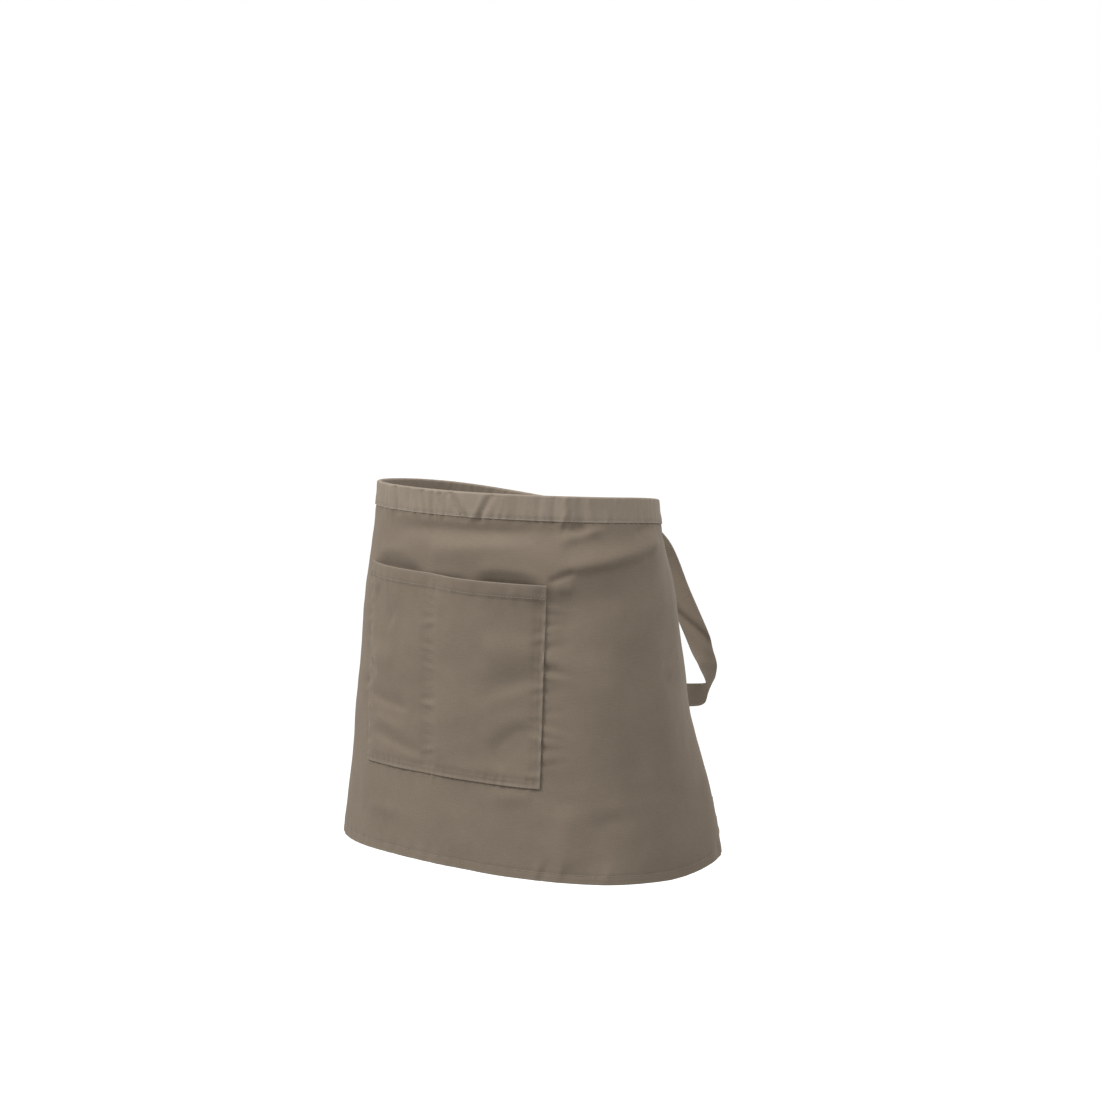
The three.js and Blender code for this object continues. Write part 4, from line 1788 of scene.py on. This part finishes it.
# Creases of the straps, with the run along the strap from the knot and the drop across it
LOOP_RELIEF = Relief(
    (
        Fold("turned crease", 115, -15, 176, 15, 4.5, 2.6, softer=0.3),
        Fold("hollow after the crease", 124, -15, 187, 15, 6, -3.2, softer=0.3),
        Fold("crease before the turn", 192, -14, 204, 14, 6, 0.9),
        Fold("crease after the turn", 262, 14, 285, -14, 6, -0.9),
    ),
    unevenness=0.25,
    seed=51,
)
END_RELIEF = Relief(unevenness=0.3, seed=52)

# The folds that give the worn cloth its main shape, as in the solids, and then the finer ones round the hip,
# the pocket, the foot and the band
FOLDS = (
    Fold("hip ridge", 126, 82.8, 236, 52.2, 17.25, 3.9),
    Fold("roll over the pocket", 7.5, 59.7, 127.5, 61.5, 12.75, 2.7),
    Fold("hollow under the band", -52.5, 42.9, 150, 32.8, 10.5, -2.4),
    Fold("hollow under the hip ridge", 150, 108, 270, 78.3, 22.5, -2.7),
    Fold("right hip roll", -176, 112, -180, 224, 41, 1.8),
    Fold("left thigh ridge", 176, 186.5, 202.5, 391.7, 37.5, 3.6),
    Fold("hollow below the left hip", 285, 164, 322.5, 223.8, 45, -4.8),
    Fold("left edge roll", 341, 298, 345, 392, 26, 3.0),
    Fold("right edge roll", -322.5, 130.6, -330, 391.7, 33.75, 4.8),
    Fold("hollow before the right edge", -262.5, 186.5, -262.5, 391.7, 30, -3.6),
    Fold("light roll below the band", -5, 56, 121, 48, 6.5, 1.5, fade=0.3),
    Fold("shade below the band", -52, 41, 114, 38, 6, -1.7, fade=0.25),
    Fold("spot below the band", 140, 31, 162, 31, 4, -1.8, fade=0.3),
    Fold("ridge before the hip", 128, 45, 182, 30, 5, 2.2, fade=0.3),
    Fold("hip crest", 126, 69, 266, 36, 8.5, 2.9, bow=6, softer=-0.3, fade=0.2),
    Fold("shade under the hip crest", 128, 84, 264, 52, 11, -1.7, bow=4, softer=0.5, fade=0.25),
    Fold("shade above the hip crest", 212, 37, 244, 27, 5, -2.1, fade=0.3),
    Fold("notch at the pocket's corner", 124, 85, 152, 72, 3.8, -1.7, fade=0.25),
    Fold("patch below the notch", 130, 91, 153, 88, 6, 1.3, fade=0.3),
    Fold("streak behind the hip", 226, 58, 226, 72, 3, 0.75, fade=0.3),
    Fold("roll above the left compartment", 48, 76, 124, 79, 6, 1.4, bow=-4, softer=-0.2, fade=0.25),
    Fold("shade above the left compartment", 46, 90, 125, 93, 6.5, -3.6, bow=-1, fade=0.25),
    Fold("shade above the right compartment", -99, 86, -10, 90, 11, -4.2, bow=-2, fade=0.22),
    Fold("shade above the divider", -12, 88, 50, 89, 5, -1.6, fade=0.25),
    Fold("ridge above the right compartment", -98, 70, -30, 66, 6, 1.3, bow=-3, fade=0.3),
    Fold("streak below the hip", 258, 180, 306, 149, 6, 2.6, fade=0.3),
    Fold("patch below the pocket", 70, 296, 124, 293, 8, 1.4, fade=0.35),
    Fold("roll beside the thigh", 150, 292, 157, 366, 13, 2.5, fade=0.3),
    Fold("shade beside the thigh", 178, 300, 188, 368, 19, -2.2, softer=-0.5, fade=0.3),
    Fold("dimple beside the thigh", 183, 311, 207, 311, 5, -0.6, fade=0.3),
    Fold("slant below the pocket", -100, 327, -40, 330, 8, 1.5, fade=0.3),
    Fold("long roll below the hip", 240, 110, 262, 290, 17, 2, fade=0.35),
    Fold("long shade below the hip", 214, 120, 226, 300, 14, -1.7, fade=0.35),
    Fold("band, light pucker", -71, 3, -66, 25, 3.2, 2.0),
    Fold("band, first soft pucker", -88, 3, -90, 25, 4, -1.4),
    Fold("band, second soft pucker", -40, 3, -38, 25, 3.4, -1.4),
    Fold("band, third soft pucker", -31, 3, -29, 25, 3, 0.9),
    Fold("band, fourth soft pucker", -17, 4, -13, 26, 2.8, -1.8),
    Fold("band, fifth soft pucker", -10, 3, -8, 26, 2.6, 1.2),
    Fold("band, sixth soft pucker", -3, 5, -3, 26, 2.5, -1.3),
    Fold("band, seventh soft pucker", 2, 4, 7, 26, 2.6, 1.0),
    Fold("band, eighth soft pucker", 7, 5, 15, 26, 2.8, -1.6),
    Fold("band, dark pucker", -63, 3, -56, 27, 2.7, -2.8),
    Fold("band, slanted pucker", 21, 3, 36, 27, 3, -2.5),
    Fold("band, slanted ridge", 29, 2, 43, 26, 3, 1.2),
    Fold("band, slanted streak", 66, 3, 53, 27, 2.8, -1.9),
    Fold("band, ridge beside the streak", 59, 2, 47, 26, 2.8, 1.1),
    Fold("band, soft shade", 92, 3, 91, 26, 4, -0.9),
    Fold("band, second soft shade", 114, 3, 112, 26, 3.5, -0.9),
    Fold("band, light streak", 138, 2, 137, 25, 4, 1.4),
    Fold("band, dark streak", 127, 3, 126, 26, 3.2, -1.4),
    Fold("band, wide shade", 152, 3, 151, 26, 5, -1.4),
)
PUCKERS = (
    Pucker(Way.ALONG_THE_WAIST, 24, -380, 380, 11, 9, 0.63, 3),
    Pucker(Way.ALONG_THE_WAIST, 4, -380, 380, 9, 7, 0.3, 4),
    Pucker(Way.DOWN_THE_CLOTH, 124, 92, 262, 16.5, 20, 0.95, 11, side=1),
    Pucker(Way.DOWN_THE_CLOTH, -103, 92, 262, 18, 16, 0.9, 12, side=-1),
    Pucker(Way.ALONG_THE_WAIST, 285, -104, 124, 12, 8, 0.45, 13, side=1),
    Pucker(Way.ALONG_THE_WAIST, 364, -372, 372, 17, 9, 0.52, 14),
    Pucker(Way.DOWN_THE_CLOTH, 366, 30, 370, 19, 9, 0.68, 15),
    Pucker(Way.DOWN_THE_CLOTH, -366, 30, 370, 19, 9, 0.68, 16),
)
POCKET_FOLDS = (
    Fold("lip of the left compartment", 46, 88.5, 125, 89.5, 6.5, 3.6, bow=-1, fade=0.25),
    Fold("lip of the right compartment", -99, 89, -10, 90.5, 11, 4.0, bow=-2, fade=0.22),
    Fold("lip beside the divider", -12, 88, 50, 88, 5, 1.5, fade=0.25),
    Fold("curl of the left hem", 14, 81, 122, 81, 17, 2.3, fade=0.2),
    Fold("shade in the right compartment", -92, 108, -48, 140, 13, -2.2, fade=0.2),
    Fold("light in the right compartment", -94, 174, -48, 180, 13, 1.9, fade=0.3),
    Fold("short crease", -103, 187, -80, 191, 4.5, -2, fade=0.25),
    Fold("long crease", -102, 213, -22, 222, 6, -1.9, bow=2, softer=-0.3, fade=0.25),
    Fold("low crease", -99, 248, -3, 265, 6, -1.9, bow=2, softer=-0.3, fade=0.25),
    Fold("low light", -90, 236, -30, 246, 7, 1.4, fade=0.3),
    Fold("roll in the left compartment", 60, 158, 124, 145, 17, 2.4, fade=0.25),
    Fold("slanted crease", 126, 168, 46, 206, 12, -2.1, bow=2, softer=0.3, fade=0.28),
    Fold("lower slanted crease", 127, 214, 70, 276, 11, -1.7, bow=5, softer=0.3, fade=0.28),
    Fold("shade at the lower corner", 118, 232, 78, 266, 20, -1.8, fade=0.25),
    Fold("light along the crease", 118, 206, 60, 246, 11, 1.2, fade=0.28),
    Fold("roll beside the divider", 26, 120, 30, 250, 15, 1.2, fade=0.25),
    Fold("second roll beside the divider", -26, 130, -24, 250, 13, 0.9, fade=0.25),
)
POCKET_PUCKERS = (
    Pucker(Way.DOWN_THE_CLOTH, 0, 104, 282, 14, 8, 0.5, 21),
    Pucker(Way.DOWN_THE_CLOTH, 121, 88, 280, 15, 8, 0.38, 22),
    Pucker(Way.DOWN_THE_CLOTH, -102, 88, 280, 15, 8, 0.68, 23),
    Pucker(Way.ALONG_THE_WAIST, 280, -102, 121, 7.5, 6, 0.48, 24),
    Pucker(Way.ALONG_THE_WAIST, 96, -102, 121, 16, 8, 0.38, 25),
)
POCKET_SEAMS = (
    Seam(-102, 84, -102, 280),
    Seam(121, 84, 121, 280),
    Seam(-102, 280, 121, 280),
    Seam(-105, 96.2, 124, 96.2),
    Seam(0, 84, 0, 283),
)
PANEL_SEAMS = (
    Seam(-365.6, 27, -365.6, 371),
    Seam(365.6, 27, 365.6, 371),
    Seam(-373, 364.6, 373, 364.6),
    Seam(-372, 22.8, 372, 22.8),
)


# The band is cut across the panel's grain, so its ribs lean the other way. Its cloth, shade and worn colours
# are painted a little lighter than the panel's: painted light, standing in for the light from above that
# falls on the band
BAND_TWILL_PAINTED_LIGHTER = TwillFinish("polycotton_twill_cross_cut_painted_light", "#998c7d", "#8d8173", "#a89c8f", rib_angle=-63.0)


def main() -> None:
    """Builds the apron's sub-assemblies and the studio."""
    logging.basicConfig(level=logging.INFO, format="%(name)s: %(message)s")
    Studio().build()
    cloth = Cloth(WornForm(), Relief(FOLDS, PUCKERS, PANEL_SEAMS, 0.45, 31))
    own = Relief(POCKET_FOLDS, POCKET_PUCKERS, POCKET_SEAMS, 0.35, 41)
    twill, thread, sewing = TwillFinish(), ThreadFinish(), Stitching()
    Panel(cloth, twill, sewing, thread).build()
    # The band's twill is painted lighter, as painted light from above
    Waistband(cloth, BAND_TWILL_PAINTED_LIGHTER, sewing, thread).build()
    Pocket(cloth, twill, sewing, thread, own).build()
    Bow(cloth, StrapSizes(), twill, sewing, thread).build()


if __name__ == "__main__":
    main()
